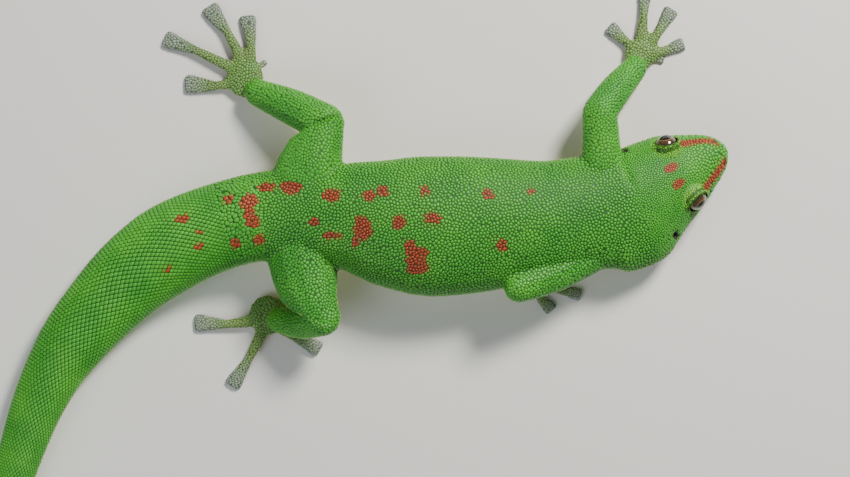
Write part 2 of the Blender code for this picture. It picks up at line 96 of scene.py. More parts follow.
# The curve through the values at the keys that the part's midline also follows.
def smoothed(keys, values, at):
    steps = np.diff(keys)[:, None]
    slopes = np.diff(values, axis=0) / steps
    tangents = np.empty_like(values)
    tangents[1:-1] = (slopes[:-1] * steps[1:] + slopes[1:] * steps[:-1]) / (steps[:-1] + steps[1:])
    tangents[0], tangents[-1] = slopes[0], slopes[-1]
    span = np.clip(np.searchsorted(keys, at, side="right") - 1, 0, len(keys) - 2)
    width = steps[span]
    t = (at[:, None] - keys[span][:, None]) / width
    return (
        (2 * t**3 - 3 * t**2 + 1) * values[span] + (t**3 - 2 * t**2 + t) * width * tangents[span]
        + (3 * t**2 - 2 * t**3) * values[span + 1] + (t**3 - t**2) * width * tangents[span + 1]
    )


def smoothStep(value, low, high):
    t = np.clip((value - low) / (high - low), 0, 1)
    return t * t * (3 - 2 * t)


def hump(value, middle, width):
    return np.exp(-((value - middle) / width) ** 2)


def unit(vectors):
    return vectors / np.maximum(np.linalg.norm(vectors, axis=-1, keepdims=True), 1e-9)


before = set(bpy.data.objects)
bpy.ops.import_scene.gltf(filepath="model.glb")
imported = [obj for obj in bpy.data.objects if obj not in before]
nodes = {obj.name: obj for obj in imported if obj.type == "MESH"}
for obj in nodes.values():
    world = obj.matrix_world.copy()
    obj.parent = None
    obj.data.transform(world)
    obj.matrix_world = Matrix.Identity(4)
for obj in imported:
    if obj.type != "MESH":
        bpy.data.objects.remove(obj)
atStart = [[float(x) for x in corner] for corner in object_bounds()]
flesh = sorted(name for name in nodes if not name.startswith("eye"))
stamp(f"frame with {len(nodes)} nodes")


def centre(name):
    low, high = (np.array(corner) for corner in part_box(name))
    return (low + high) / 2 / milli


# The eyes stand either side of the midline, which fixes where the midline lies in the frame.
localMidline = np.array(midlinePoints)
midKeys = chordKeys(localMidline) * tailEnd / chordKeys(localMidline)[-1]
eyeMiddle = (centre("eye_left") + centre("eye_right"))[:2] / 2
localEye = smoothed(midKeys, localMidline, np.array([eyeSettings["distance"]]))[0]
frameShift = np.array([eyeMiddle[0] + localEye[0], eyeMiddle[1] - localEye[1]])
lineStep = 0.4
lineAt = np.arange(0, tailEnd, lineStep)
linePlan = smoothed(midKeys, localMidline, lineAt) * (-1, 1) + frameShift
lineBack = unit(np.gradient(linePlan, axis=0))
lineLeft = np.stack([lineBack[:, 1], -lineBack[:, 0]], axis=1)


# Distance along the midline, place to its left, and the indexes of the nearest samples of it.
def alongTrunk(points):
    nearest = np.empty(len(points), int)
    for first in range(0, len(points), 4000):
        block = points[first:first + 4000, None, :2] - linePlan[None]
        nearest[first:first + 4000] = (block**2).sum(axis=2).argmin(axis=1)
    offset = points[:, :2] - linePlan[nearest]
    back, aside = ((offset * way[nearest]).sum(axis=1) for way in (lineBack, lineLeft))
    return lineAt[nearest] + back, aside, nearest


def lineIndex(distance):
    return int(np.clip(np.round(distance / lineStep), 0, len(lineAt) - 1))


# Half width, lowest, widest level and top of the trunk there.
def crossSection(distance):
    return (np.interp(distance, sections[:, 0], sections[:, i]) for i in (1, 2, 3, 4))


# How far up the side a point is: 1 at the middle of the back, 0 at the widest level, -1 under the belly.
def crossAngle(points, distance, aside):
    half, low, level, top = crossSection(distance)
    rise = np.where(points[:, 2] > level, top - level, level - low)
    return np.arctan2((points[:, 2] - level) / rise, abs(aside) / half) / (math.pi / 2)


def meshArrays(thing):
    mesh = thing.data
    mesh.calc_loop_triangles()
    points = np.empty(len(mesh.vertices) * 3, np.float32)
    mesh.vertices.foreach_get("co", points)
    corners = np.empty(len(mesh.loop_triangles) * 3, np.int32)
    mesh.loop_triangles.foreach_get("vertices", corners)
    return points.reshape(-1, 3).astype(float), corners.reshape(-1, 3)


def linked(name, data):
    thing = bpy.data.objects.new(name, data)
    bpy.context.scene.collection.objects.link(thing)
    return thing


# A mesh object from millimetre points and faces that all have the same number of corners.
def meshFrom(name, points, faces):
    faces = np.asarray(faces, np.int32)
    sides = faces.shape[1]
    mesh = bpy.data.meshes.new(name)
    mesh.vertices.add(len(points))
    mesh.vertices.foreach_set("co", (np.asarray(points) * milli).astype(np.float32).ravel())
    mesh.loops.add(faces.size)
    mesh.loops.foreach_set("vertex_index", faces.ravel())
    mesh.polygons.add(len(faces))
    mesh.polygons.foreach_set("loop_start", np.arange(0, faces.size, sides, dtype=np.int32))
    mesh.update(calc_edges=True)
    mesh.shade_smooth()
    return linked(name, mesh)


# Triangles of domes that are each given as rings from the outermost in, then one point at the top.
def domeFaces(sides, rings, count):
    faces = []
    for ring in range(rings - 1):
        for i in range(sides):
            a, b = ring * sides + i, ring * sides + (i + 1) % sides
            faces += [(a, b, b + sides), (a, b + sides, a + sides)]
    last = (rings - 1) * sides
    faces += [(last + i, last + (i + 1) % sides, last + sides) for i in range(sides)]
    return (np.array(faces)[None] + (np.arange(count) * (last + sides + 1))[:, None, None]).reshape(-1, 3)


# Bakes the object's modifiers into its mesh.
def applied(thing):
    graph = bpy.context.evaluated_depsgraph_get()
    mesh = bpy.data.meshes.new_from_object(thing.evaluated_get(graph))
    thing.modifiers.clear()
    thing.data = mesh


def vertexNormals(thing):
    normals = np.empty(len(thing.data.vertices) * 3, np.float32)
    thing.data.vertices.foreach_get("normal", normals)
    return normals.reshape(-1, 3).astype(float)


def setPoints(thing, points):
    thing.data.vertices.foreach_set("co", (points * milli).astype(np.float32).ravel())
    thing.data.update()


def setColour(mesh, name, colours):
    attribute = mesh.attributes.new(name, "FLOAT_COLOR", "POINT")
    filled = np.ones((len(colours), 4), np.float32)
    filled[:, :3] = colours
    attribute.data.foreach_set("color", filled.ravel())


# The CAD surface, welded, which the skin is made from and measured against.
cadPoints, cadFaces, cadOwner = [], [], []
swollen = []
for number, name in enumerate(flesh):
    welded = bmesh.new()
    welded.from_mesh(nodes[name].data)
    bmesh.ops.remove_doubles(welded, verts=welded.verts, dist=skinSettings["weld"] * milli)
    bmesh.ops.triangulate(welded, faces=welded.faces)
    welded.normal_update()
    first = sum(len(p) for p in cadPoints)
    points = np.array([v.co for v in welded.verts]) / milli
    normals = np.array([v.normal for v in welded.verts])
    faces = np.array([[v.index for v in f.verts] for f in welded.faces])
    welded.free()
    cadPoints.append(points)
    cadFaces.append(faces + first)
    cadOwner += [number] * len(faces)
    swollen.append(points + normals * skinSettings["grow"])
cadPoints, cadFaces, cadOwner = np.concatenate(cadPoints), np.concatenate(cadFaces), np.array(cadOwner)
cadTree = BVHTree.FromPolygons([Vector(p) for p in cadPoints], cadFaces.tolist())

skin = meshFrom("skin", np.concatenate(swollen), cadFaces)
remesh = skin.modifiers.new("voxels", "REMESH")
remesh.mode = "VOXEL"
remesh.voxel_size = skinSettings["voxel"] * milli
applied(skin)
soften = skin.modifiers.new("soften", "SMOOTH")
soften.factor = skinSettings["softness"]
soften.iterations = skinSettings["rounds"]
applied(skin)
stamp(f"skin remeshed, {len(skin.data.polygons)} faces")


# Nearest places on the tree's surface, the normals there and the faces they are on.
def nearestOn(tree, points, reach=50.0):
    places, normals, faces = np.empty_like(points), np.empty_like(points), np.empty(len(points), int)
    for i, point in enumerate(points):
        place, normal, face, _ = tree.find_nearest(point, reach)
        places[i], normals[i], faces[i] = place, normal, face
    return places, normals, faces


# The head keeps the solids' crisp mouth, orbits and ears. Elsewhere the skin is only drawn in a little.
points, _ = meshArrays(skin)
points /= milli
normals = vertexNormals(skin)
distance, aside, _ = alongTrunk(points)
sunk = points - normals * (skinSettings["grow"] + skinSettings["inset"])
onHead = (distance < skinSettings["headBlend"][1] + 0.5) & (abs(aside) < skinSettings["headHalfWide"])
places, cadNormals, faces = nearestOn(cadTree, points[onHead])
headWeight = 1 - smoothStep(distance[onHead], *skinSettings["headBlend"])
headWeight *= cadOwner[faces] == flesh.index("head")
towards = places - unit(cadNormals) * skinSettings["inset"]
sunk[onHead] += (towards - sunk[onHead]) * headWeight[:, None]
setPoints(skin, sunk)
thin = skin.modifiers.new("thin", "DECIMATE")
thin.ratio = min(1.0, skinSettings["faces"] / (len(skin.data.polygons) * 2))
applied(skin)


# Runs one bmesh operator over all the faces of the object.
def overFaces(operator, thing):
    work = bmesh.new()
    work.from_mesh(thing.data)
    operator(work, faces=work.faces)
    work.to_mesh(thing.data)
    work.free()
    thing.data.shade_smooth()


overFaces(bmesh.ops.triangulate, skin)
stamp(f"skin of {len(skin.data.polygons)} faces")

skinPoints, skinFaces = meshArrays(skin)
skinPoints /= milli
skinNormals = vertexNormals(skin)

# Folds: each is a line in the photo's pixels, with its depth, its width and whether it lies below or above.
folds = (
    (((226, 150), (205, 175), (200, 205), (215, 235), (250, 268)), 0.55, 1.0, -1),
    (((240, 152), (228, 176), (226, 204), (238, 236)), 0.22, 0.9, -1),
    (((252, 158), (262, 166), (275, 168)), 0.40, 0.8, -1),
    (((512, 166), (522, 186), (540, 196)), 0.35, 0.9, -1),
    (((508, 262), (524, 254), (545, 250)), 0.35, 0.9, -1),
    (((585, 168), (580, 205), (586, 262)), 0.30, 1.1, -1),
    (((236, 148), (228, 170), (222, 190)), 0.35, 0.9, 1),
    (((240, 262), (232, 240), (226, 224)), 0.30, 0.9, 1),
)


# Plan places of photo pixels.
def fromPhoto(pixels):
    return (np.array(photoSettings["snout"]) - pixels) * photoSettings["pixel"] + frameShift


for line, depth, width, facing in folds:
    places = fromPhoto(line)
    keys = chordKeys(places)
    dense = smoothed(keys, places, np.arange(0, keys[-1], 0.25))
    gap = np.full(len(skinPoints), 99.0)
    for place in dense:
        gap = np.minimum(gap, np.linalg.norm(skinPoints[:, :2] - place, axis=1))
    end = np.minimum(np.linalg.norm(skinPoints[:, :2] - dense[0], axis=1),
                     np.linalg.norm(skinPoints[:, :2] - dense[-1], axis=1))
    facesIt = smoothStep(skinNormals[:, 2] * facing, 0.05, 0.45)
    crease = hump(gap, 0, width) - 0.35 * hump(gap, 1.9 * width, 0.8 * width)
    skinPoints -= skinNormals * (depth * crease * facesIt * smoothStep(end, 0.2, 2.5))[:, None]

# Nostrils and ears, sunk into the skin. The rim is a ring of that many scales, that far out and that size.
openings = {
    "nostril": {"at": 1.9, "out": 2.9, "rise": 7.9, "halfLong": 0.36, "halfHigh": 0.30, "depth": 0.45,
                "bowl": 0.35, "rimCount": 9, "rimOut": 0.24, "rimPitch": 0.46},
    "ear": {"at": 22.3, "out": 12.2, "rise": 10.0, "halfLong": 0.75, "halfHigh": 1.30, "depth": 1.30,
            "bowl": 1.0, "rimCount": 16, "rimOut": 0.30, "rimPitch": 0.58},
}
placedOpenings = []


# How far out from an opening's middle points are, 1 being its edge when it is widened by that much.
def ovalReach(opening, points, more):
    away = points - opening["spot"]
    return np.hypot(away @ opening["back"] / (opening["halfLong"] + more),
                    away @ opening["upward"] / (opening["halfHigh"] + more))


for opening in openings.values():
    for side in (1, -1):
        index = int(round(opening["at"] / lineStep))
        spot = np.array([*(linePlan[index] + lineLeft[index] * opening["out"] * side), opening["rise"]])
        back = np.array([*lineBack[index], 0.0])
        # The rim's own level and slope, from the skin a little outside the opening.
        away = np.linalg.norm(skinPoints - spot, axis=1)
        around = (away < opening["halfHigh"] + 1.6) & (away > opening["halfHigh"] + 0.3)
        around &= skinNormals @ [*(lineLeft[index] * side), 0] > 0.1
        normal = unit(skinNormals[around].mean(axis=0))
        spot = spot + normal * ((skinPoints[around].mean(axis=0) - spot) @ normal)
        back = unit(back - normal * back.dot(normal))
        upward = np.cross(normal, back)
        upward = upward * np.sign(upward[2])
        placed = opening | {"spot": spot, "normal": normal, "back": back, "upward": upward}
        placedOpenings.append(placed)
        oval = ovalReach(placed, skinPoints, 0.15)
        level = (skinPoints - spot) @ normal
        sunk = (oval < 1) & (abs(level) < 2.5)
        depth = opening["depth"] * (1.15 - oval[sunk] ** 2)
        skinPoints[sunk] -= normal * np.clip(level[sunk] + depth, 0, None)[:, None]
skinPoints[:, 2] = np.maximum(skinPoints[:, 2], skinSettings["lift"])
setPoints(skin, skinPoints)
skinNormals = vertexNormals(skin)
skinTree = BVHTree.FromPolygons([Vector(p) for p in skinPoints], skinFaces.tolist())

# Which part of the animal a point belongs to, and the way its scales lie there.
eyeCentres = np.array([centre("eye_left"), centre("eye_right")])
frontNodes, hindNodes = ("upper_arm_", "forearm_", "hand_"), ("thigh_", "shin_", "foot_")
legs = {"front_left": frontNodes, "front_right": frontNodes, "hind_left": hindNodes, "hind_right": hindNodes}

# The fold behind the throat, in the photo's pixels. Coarse belly scales begin at it. Above, they begin at neckAt.
throatFold = np.array(((226, 140), (222, 150), (206, 175), (200, 205), (214, 235), (248, 268), (252, 280)), float)
neckAt = 27
partOf = {
    "upper": "arm", "forearm": "arm", "thigh": "leg", "shin": "leg", "hand": "foot", "foot": "foot", "toe": "toe",
}
part = np.array([partOf.get(name.split("_")[0], "trunk") for name in flesh], object)
lie = np.zeros((len(flesh), 3))
footMiddle, footReach = np.zeros((len(flesh), 2)), np.ones(len(flesh))
for leg, starts in legs.items():
    upper, lower, foot = (centre(start + leg) for start in starts)
    for number, name in enumerate(flesh):
        if name == starts[0] + leg:
            lie[number] = lower - upper
        elif name in (starts[1] + leg, starts[2] + leg):
            lie[number] = foot - lower
        elif name.endswith(leg):
            toePoints, _ = meshArrays(nodes[name])
            lie[number] = (centre(name) - foot) * (1, 1, 0)
            footMiddle[number] = foot[:2]
            footReach[number] = np.linalg.norm(toePoints[:, :2] / milli - foot[:2], axis=1).max()


# Everything the scale sizes and the markings need to know about places on the skin.
def describe(points, normals):
    _, _, faces = nearestOn(cadTree, points)
    owner = cadOwner[faces]
    about = {"part": part[owner], "owner": owner, "at": points, "normal": normals}
    about["s"], about["aside"], nearest = alongTrunk(points)
    about["up"] = crossAngle(points, about["s"], about["aside"])
    back = np.zeros_like(points)
    back[:, :2] = lineBack[nearest]
    onTrunk = about["part"] == "trunk"
    flow = np.where(onTrunk[:, None], back, lie[owner])
    flow = flow - normals * (flow * normals).sum(axis=1, keepdims=True)
    about["flow"] = unit(flow)
    pixels = photoSettings["snout"] - (points[:, :2] - frameShift) / photoSettings["pixel"]
    behindFold = pixels[:, 0] - np.interp(pixels[:, 1], throatFold[:, 1], throatFold[:, 0])
    behindFold *= photoSettings["pixel"]
    above = smoothStep(about["up"], -0.45, 0.0)
    about["neck"] = behindFold * (1 - above) + (about["s"] - neckAt) * above
    about["eye"] = np.minimum(*(np.linalg.norm(points - e, axis=1) for e in eyeCentres))
    return about


noiseTable = {"size": 4096, "primes": (73856093, 19349663, 83492791)}


# Smooth noise between 0 and 1 at the points, from a lattice of random values.
def valueNoise(points, size, seed):
    table = np.random.default_rng(seed).random(noiseTable["size"])
    base = np.floor(points / size).astype(int)
    within = points / size - base
    within = within * within * (3 - 2 * within)
    total = np.zeros(len(points))
    for corner in range(8):
        step = np.array([(corner >> axis) & 1 for axis in range(3)])
        cell = (base + step) * noiseTable["primes"]
        value = table[(cell[:, 0] ^ cell[:, 1] ^ cell[:, 2]) % noiseTable["size"]]
        total += value * np.prod(np.where(step == 1, within, 1 - within), axis=1)
    return total


# Colours, linear. The photo shows the underside; the back follows the species.
colours = {name: np.array(value) for name, value in {
    "back": (0.020, 0.205, 0.009), "backLight": (0.062, 0.330, 0.014), "flank": (0.230, 0.400, 0.040),
    "belly": (0.775, 0.755, 0.510), "bellyPink": (0.740, 0.670, 0.530), "throat": (0.500, 0.510, 0.450),
    "chin": (0.215, 0.290, 0.085), "limbUnder": (0.500, 0.570, 0.230), "bead": (0.330, 0.500, 0.070),
    "sole": (0.265, 0.210, 0.052), "pad": (0.185, 0.205, 0.212), "tailUnder": (0.080, 0.270, 0.012),
    "tailSide": (0.150, 0.300, 0.035), "groin": (0.600, 0.540, 0.130), "rust": (0.270, 0.018, 0.005),
    "lid": (0.150, 0.420, 0.030), "toe": (0.150, 0.260, 0.060), "padTop": (0.210, 0.260, 0.190),
}.items()}


def mixed(first, second, share):
    return first * (1 - share[:, None]) + second * share[:, None]


rustSettings = {
    "count": 34, "from": 44, "to": 148, "lanes": (-0.42, 0.0, 0.42),
    "sizes": ((44, 80, 120, 148), (0.6, 1.15, 1.1, 0.6)),
    "stripe": ((1.5, 5, 11), (7.9, 8.9, 10.6)), "stripeSpan": (1.6, 12.2), "stripeEdge": (0.45, 0.95),
    "crown": (15.2, 2.2), "crownEdge": (0.9, 1.4), "wobble": 1.5,
}
rustSpots = []
for _ in range(rustSettings["count"]):
    s = rustSettings["from"] + (rustSettings["to"] - rustSettings["from"]) * rng.beta(2.2, 1.7)
    lane = rng.choice(rustSettings["lanes"]) + rng.normal(0, 0.10)
    size = rng.uniform(0.7, 1.9) * float(np.interp(s, *rustSettings["sizes"]))
    rustSpots.append((s, lane, size, rng.uniform(0.75, 1.5)))


# How rust-red a place is: spots down the back, a stripe from nostril to eye, and marks on the crown.
def rustShare(about):
    at, aside = about["s"], about["aside"]
    half, *_ = crossSection(at)
    share = np.zeros(len(at))
    wobble = (valueNoise(about["at"], 2.6, 5) - 0.5) * rustSettings["wobble"]
    for s, lane, size, long in rustSpots:
        lineAside = lane * np.interp(s, sections[:, 0], sections[:, 1])
        gap = np.hypot((at - s) / long, (aside - lineAside) * long)
        share = np.maximum(share, 1 - smoothStep(gap + wobble, size * 0.85, size * 0.85 + 0.45))
    share *= about["up"] > 0.25
    stripe = abs(about["at"][:, 2] - np.interp(at, *rustSettings["stripe"])) + wobble * 0.3
    low, high = rustSettings["stripeSpan"]
    inStripe = (at > low) & (at < high) & (abs(aside) > half * 0.35)
    share = np.maximum(share, (1 - smoothStep(stripe, *rustSettings["stripeEdge"])) * inStripe)
    along, apart = rustSettings["crown"]
    crown = np.hypot((at - along) / 1.7, abs(aside) - apart) + wobble * 0.8
    share = np.maximum(share, (1 - smoothStep(crown, *rustSettings["crownEdge"])) * (about["up"] > 0.4))
    return share * (about["part"] == "trunk")


# Where one colour gives way to the next, as (from, to): by the height up the side (first line), by how far a
# place faces down (second), by millimetres (third), and by the share of the toe's length.
blends = {
    "flank": (-0.30, 0.25), "belly": (-0.62, -0.26), "throat": (-0.85, -0.40), "jaw": (-0.32, -0.05),
    "bead": (-0.45, 0.35), "limbUnder": (-0.94, -0.55), "sole": (-0.35, 0.15), "toeUnder": (-0.4, 0.0),
    "tail": (vent - 4, vent + 8), "head": (-1.5, 2.5), "throatAlong": (7, 21), "lid": (3.5, 4.3),
    "padTop": (0.45, 0.95),
}


def beyond(value, name):
    return smoothStep(value, *blends[name])


def upTo(value, name):
    return 1 - smoothStep(value, *blends[name])


# The colour of each place, the same for the skin and for the scales on it.
def markings(about):
    s, up, side = about["s"], about["up"], about["part"]
    down = about["normal"][:, 2]
    patchy, fine = (valueNoise(about["at"], size, seed) for size, seed in ((6.0, 2), (1.7, 3)))
    green = mixed(colours["back"], colours["backLight"], np.clip(patchy * 0.8 + fine * 0.3 - 0.1, 0, 1))
    # Trunk: green back, yellow-green flanks, pale belly.
    colour = mixed(green, colours["flank"], upTo(up, "flank") * 0.85)
    under = mixed(colours["belly"], colours["bellyPink"], np.clip(patchy * 1.4 - 0.3, 0, 1))
    onTail = beyond(s, "tail")
    underTail = mixed(colours["tailUnder"], colours["belly"], np.clip(1 - (s - vent) / 20, 0, 1) ** 1.3 * 0.65)
    colour = mixed(colour, mixed(under, underTail, onTail), upTo(up + (fine - 0.5) * 0.12, "belly"))
    colour = mixed(colour, colours["tailSide"], hump(up, -0.35, 0.22) * onTail * 0.5)
    groin = hump(s, vent - 6, 7.0) * hump(up, -0.42, 0.30)
    colour = mixed(colour, colours["groin"], groin * 0.75)
    # Head: grey-white throat, green snout, jaw and jowls.
    head = upTo(about["neck"], "head")
    headUnder = mixed(colours["chin"], colours["throat"], upTo(up, "throat") * beyond(s, "throatAlong"))
    colour = mixed(colour, headUnder, head * upTo(up, "jaw"))
    rust = rustShare(about)
    colour = mixed(colour, colours["rust"], rust * 0.92)
    # Limbs: green above, cream within, bright beads along the outer edge.
    limb = mixed(green, colours["bead"], upTo(down, "bead"))
    limb = mixed(limb, colours["limbUnder"], upTo(down, "limbUnder"))
    onThigh = np.isin(about["owner"], [i for i, name in enumerate(flesh) if name.startswith("thigh")])
    limb = mixed(limb, colours["groin"], groin * onThigh * (down < -0.1) * 0.7)
    foot = mixed(colours["back"], colours["toe"], patchy * 0.6 + 0.4)
    foot = mixed(foot, colours["sole"], upTo(down, "sole"))
    reach = np.linalg.norm(about["at"][:, :2] - footMiddle[about["owner"]], axis=1) / footReach[about["owner"]]
    begin = padStart[about["owner"]]
    under = mixed(colours["sole"], colours["pad"], smoothStep(reach, begin - 0.04, begin + 0.04))
    toe = mixed(mixed(colours["toe"], colours["padTop"], beyond(reach, "padTop")), under, upTo(down, "toeUnder"))
    for names, own in ((("arm", "leg"), limb), (("foot",), foot), (("toe",), toe)):
        colour = np.where(np.isin(side, names)[:, None], own, colour)
    return mixed(colour, colours["lid"], upTo(about["eye"], "lid") * head * 0.8 * (1 - rust))


# Toe pads: the outline of each, sliced from its solid between the neck of the toe and the tip.
padSettings = {
    "least": 1.3, "longest": 9.5, "shortest": 3.5, "share": 0.93, "round": 0.5, "slice": 0.1, "neck": 0.5,
}
pads = []
padStart = np.full(len(flesh), 9.0)
for number, name in enumerate(flesh):
    if not name.startswith("toe"):
        continue
    toePoints, toeFaces = meshArrays(nodes[name])
    toePoints = toePoints / milli
    plan = toePoints[:, :2] - toePoints[:, :2].mean(axis=0)
    ahead = np.linalg.svd(plan, full_matrices=False)[2][0]
    ahead = ahead * np.sign(ahead @ lie[number][:2])
    aside = np.array([-ahead[1], ahead[0]])
    along, across = toePoints[:, :2] @ ahead, toePoints[:, :2] @ aside
    edges = toeFaces[:, [0, 1, 1, 2, 2, 0]].reshape(-1, 2)
    keys = np.arange(along.max() - padSettings["longest"], along.max() - 0.04, padSettings["slice"])
    keys = keys[keys > along.min() + 0.2]
    spans = []
    for key in keys:
        gap = along[edges] - key
        cut = edges[gap[:, 0] * gap[:, 1] < 0]
        share = (key - along[cut[:, 0]]) / (along[cut[:, 1]] - along[cut[:, 0]])
        hit = across[cut[:, 0]] * (1 - share) + across[cut[:, 1]] * share
        spans.append((hit.min(), hit.max()))
    low, high = np.array(spans).T
    halves, middles = (high - low) / 2, (high + low) / 2
    if halves.max() < padSettings["least"]:
        continue
    inNeck = keys < along.max() - padSettings["shortest"]
    root = keys[inNeck][halves[inNeck].argmin()] + padSettings["neck"]
    pads.append({
        "ahead": ahead, "aside": aside, "root": root, "tip": along.max(), "wide": halves.max(),
        "keys": keys, "halves": halves, "middles": middles,
    })
    padStart[number] = (root - footMiddle[number] @ ahead) / footReach[number]


# The middle of the pad and half its width there, across its own axis.
def padSpan(pad, along):
    middle = np.interp(along, pad["keys"], pad["middles"])
    half = np.interp(along, pad["keys"], pad["halves"]) * padSettings["share"]
    turned = pad["wide"] * padSettings["round"]
    corner = np.clip((along - pad["tip"] + turned) / (turned * 1.1), 0, 1)
    return middle, half * (1 - corner ** 3.5) ** (1 / 2.6)


stamp(f"{len(pads)} toe pads measured")


# Spacing of the scales in millimetres: against the height up the side (trunk), the distance from the snout (crown
# to tail), how far a place faces down (limbs), and the distance from the eye's middle (lids, a share). Feet and
# toes have one value below and one above.
pitchTables = {
    "trunk": ((-0.62, -0.34, 0.0, 0.5), (1.62, 1.20, 0.84, 0.72)),
    "crown": ((0, 6, 12, 20, 28), (0.80, 0.78, 0.56, 0.52, 0.60)),
    "jowl": ((6, 14, 20, 30), (0.74, 0.80, 1.12, 1.22)),
    "throat": ((0, 8, 20, 27), (0.86, 0.62, 0.56, 0.72)),
    "tailUnder": ((119, 127, 138, 152, 165, 185, 257), (1.6, 2.7, 4.3, 4.4, 3.0, 2.2, 0.8)),
    "tailEdge": ((119, 132, 160, 200, 257), (0.84, 1.05, 1.20, 0.95, 0.52)),
    "limbs": ((-0.6, 0.0, 0.5), (1.02, 0.88, 0.72)),
    "lids": ((3.6, 5.0), (0.74, 1.0)),
    "foot": (0.54, 0.64),
    "toe": (0.50, 0.60),
}


def pitchOf(about):
    s, up, side = about["s"], about["up"], about["part"]
    down = about["normal"][:, 2]
    table = {name: np.interp(at, *pitchTables[name]) for name, at in (
        ("trunk", up), ("crown", s), ("jowl", s), ("throat", s), ("tailUnder", s), ("tailEdge", s),
        ("limbs", down), ("lids", about["eye"]),
    )}
    beside = hump(up, -0.24, 0.24)
    head = np.where(up > 0.05, table["crown"], table["throat"])
    head = head + (table["jowl"] - head) * beside
    pitch = head + (table["trunk"] - head) * smoothStep(about["neck"], -0.8, 1.2)
    tail = table["tailEdge"] + (table["tailUnder"] - table["tailEdge"]) * (1 - smoothStep(up, -0.80, -0.06))
    tail *= np.where(up > 0.2, 0.92, 1.0)
    pitch = pitch + (tail - pitch) * smoothStep(s, vent - 3, vent + 8)
    pitch = np.where((side == "arm") | (side == "leg"), table["limbs"], pitch)
    for name in ("foot", "toe"):
        pitch = np.where(side == name, np.where(down < -0.3, *pitchTables[name]), pitch)
    return pitch * table["lids"]


# The skin shows only between the scales. Its colour there is darkened as painted shade in the grooves.
grooveShade = {"belly": 0.36, "below": 0.42, "above": 0.28}
skinAbout = describe(skinPoints, skinNormals)
onBelly = (skinAbout["up"] < -0.3) & (skinAbout["s"] < vent + 10) & (skinAbout["part"] == "trunk")
grooveShading = np.where(skinAbout["up"] < -0.2, grooveShade["below"], grooveShade["above"])
skinTint = markings(skinAbout) * np.where(onBelly, grooveShade["belly"], grooveShading)[:, None]
skinPitch = pitchOf(skinAbout)
stamp("skin described")


# A place round the trunk, from the sections, before it is put on the skin.
def ringPlace(distance, angle):
    index = np.clip(np.asarray(distance) / lineStep, 0, len(lineAt) - 1)
    plan = np.column_stack([np.interp(index, np.arange(len(lineAt)), linePlan[:, i]) for i in (0, 1)])
    aside = np.column_stack([np.interp(index, np.arange(len(lineAt)), lineLeft[:, i]) for i in (0, 1)])
    half, low, level, top = crossSection(distance)
    rise = np.where(np.sin(angle) > 0, top - level, level - low)
    return np.column_stack([plan + aside * (half * np.cos(angle))[:, None], level + rise * np.sin(angle)])


def girth(distance):
    half, low, level, top = crossSection(distance)
    return (half + (top - low) / 2) / 2


# Quincunx rows across the trunk, each set half a place aside from the last.
def rows(start, end, pitches, step, centreAngle, spread):
    at, angles, odd, distance = [], [], 0, start
    while distance < end:
        wide = float(np.interp(distance, *pitches))
        radius = float(girth(distance))
        count = int(spread * radius * 2 / wide)
        count += (count + odd) % 2
        at += [distance] * count
        angles += [centreAngle + (i - (count - 1) / 2) * wide / radius for i in range(count)]
        distance += wide * step
        odd = 1 - odd
    return ringPlace(np.array(at), np.array(angles))


# Height above the mouth line, and whether a place is beside it.
def onMouth(points):
    s, aside, _ = alongTrunk(points)
    half, _, level, _ = crossSection(s)
    return points[:, 2] - level, (s < 17.4) & (abs(points[:, 2] - level) < 3) & (abs(aside) < half + 1.5)


# Fixed scales: one above and one below the mouth at the snout, and the rims round the eyes, nostrils and ears.
# Ghosts only hold the others back.
fixed, fixedPitch, ghosts, ghostPitch = [], [], [], []


def addFixed(places, pitch):
    fixed.append(np.asarray(places, float))
    fixedPitch.append(np.full(len(places), pitch))


def addGhosts(places, pitch):
    ghosts.append(np.asarray(places, float))
    ghostPitch.append(np.full(len(places), pitch))


def spokes(first, second, turn):
    return first * np.cos(turn)[:, None] + second * np.sin(turn)[:, None]


# That many angles round a circle.
def evenly(count, offset=0.0):
    return (np.arange(count) + offset) * 2 * math.pi / count


# Lip plates. Their tones go with the rings and the top: painted shade darkens each plate's rim and the ring
# inside it.
lipSettings = {
    "above": 0.84, "below": 0.82, "high": 0.62, "end": 16.2, "starts": (0.10, 0.28), "thick": 0.20, "fill": 0.475,
    "snout": 0.85, "sides": 20, "rings": ((1.0, -2.0), (0.95, 0.50), (0.70, 0.95)),
    "shadedTones": (0.40, 0.86, 1.0, 1.0), "powers": (0.42, 0.50),
    "taper": ((0, 12, 17), (1.0, 0.95, 0.6)), "lengths": ((0, 2, 8, 17), (1.35, 1.6, 1.75, 1.05)),
}


def lipTaper(at):
    return np.interp(at, *lipSettings["taper"])


def mouthLine(side, at):
    return ringPlace(at, np.full(len(at), 0.0 if side > 0 else math.pi))


for side in (1, -1):
    at = np.arange(0.3, lipSettings["end"], 0.40)
    for rise in (lipSettings["above"] + lipSettings["high"], -lipSettings["below"] - lipSettings["high"]):
        place = mouthLine(side, at)
        place[:, 2] += rise * lipTaper(at)
        addGhosts(place, 0.10)
tip = np.array([*linePlan[0], 6.0])
addFixed([tip + (0, 0, lipSettings["snout"]), tip - (0, 0, lipSettings["snout"])], 2 * lipSettings["snout"])

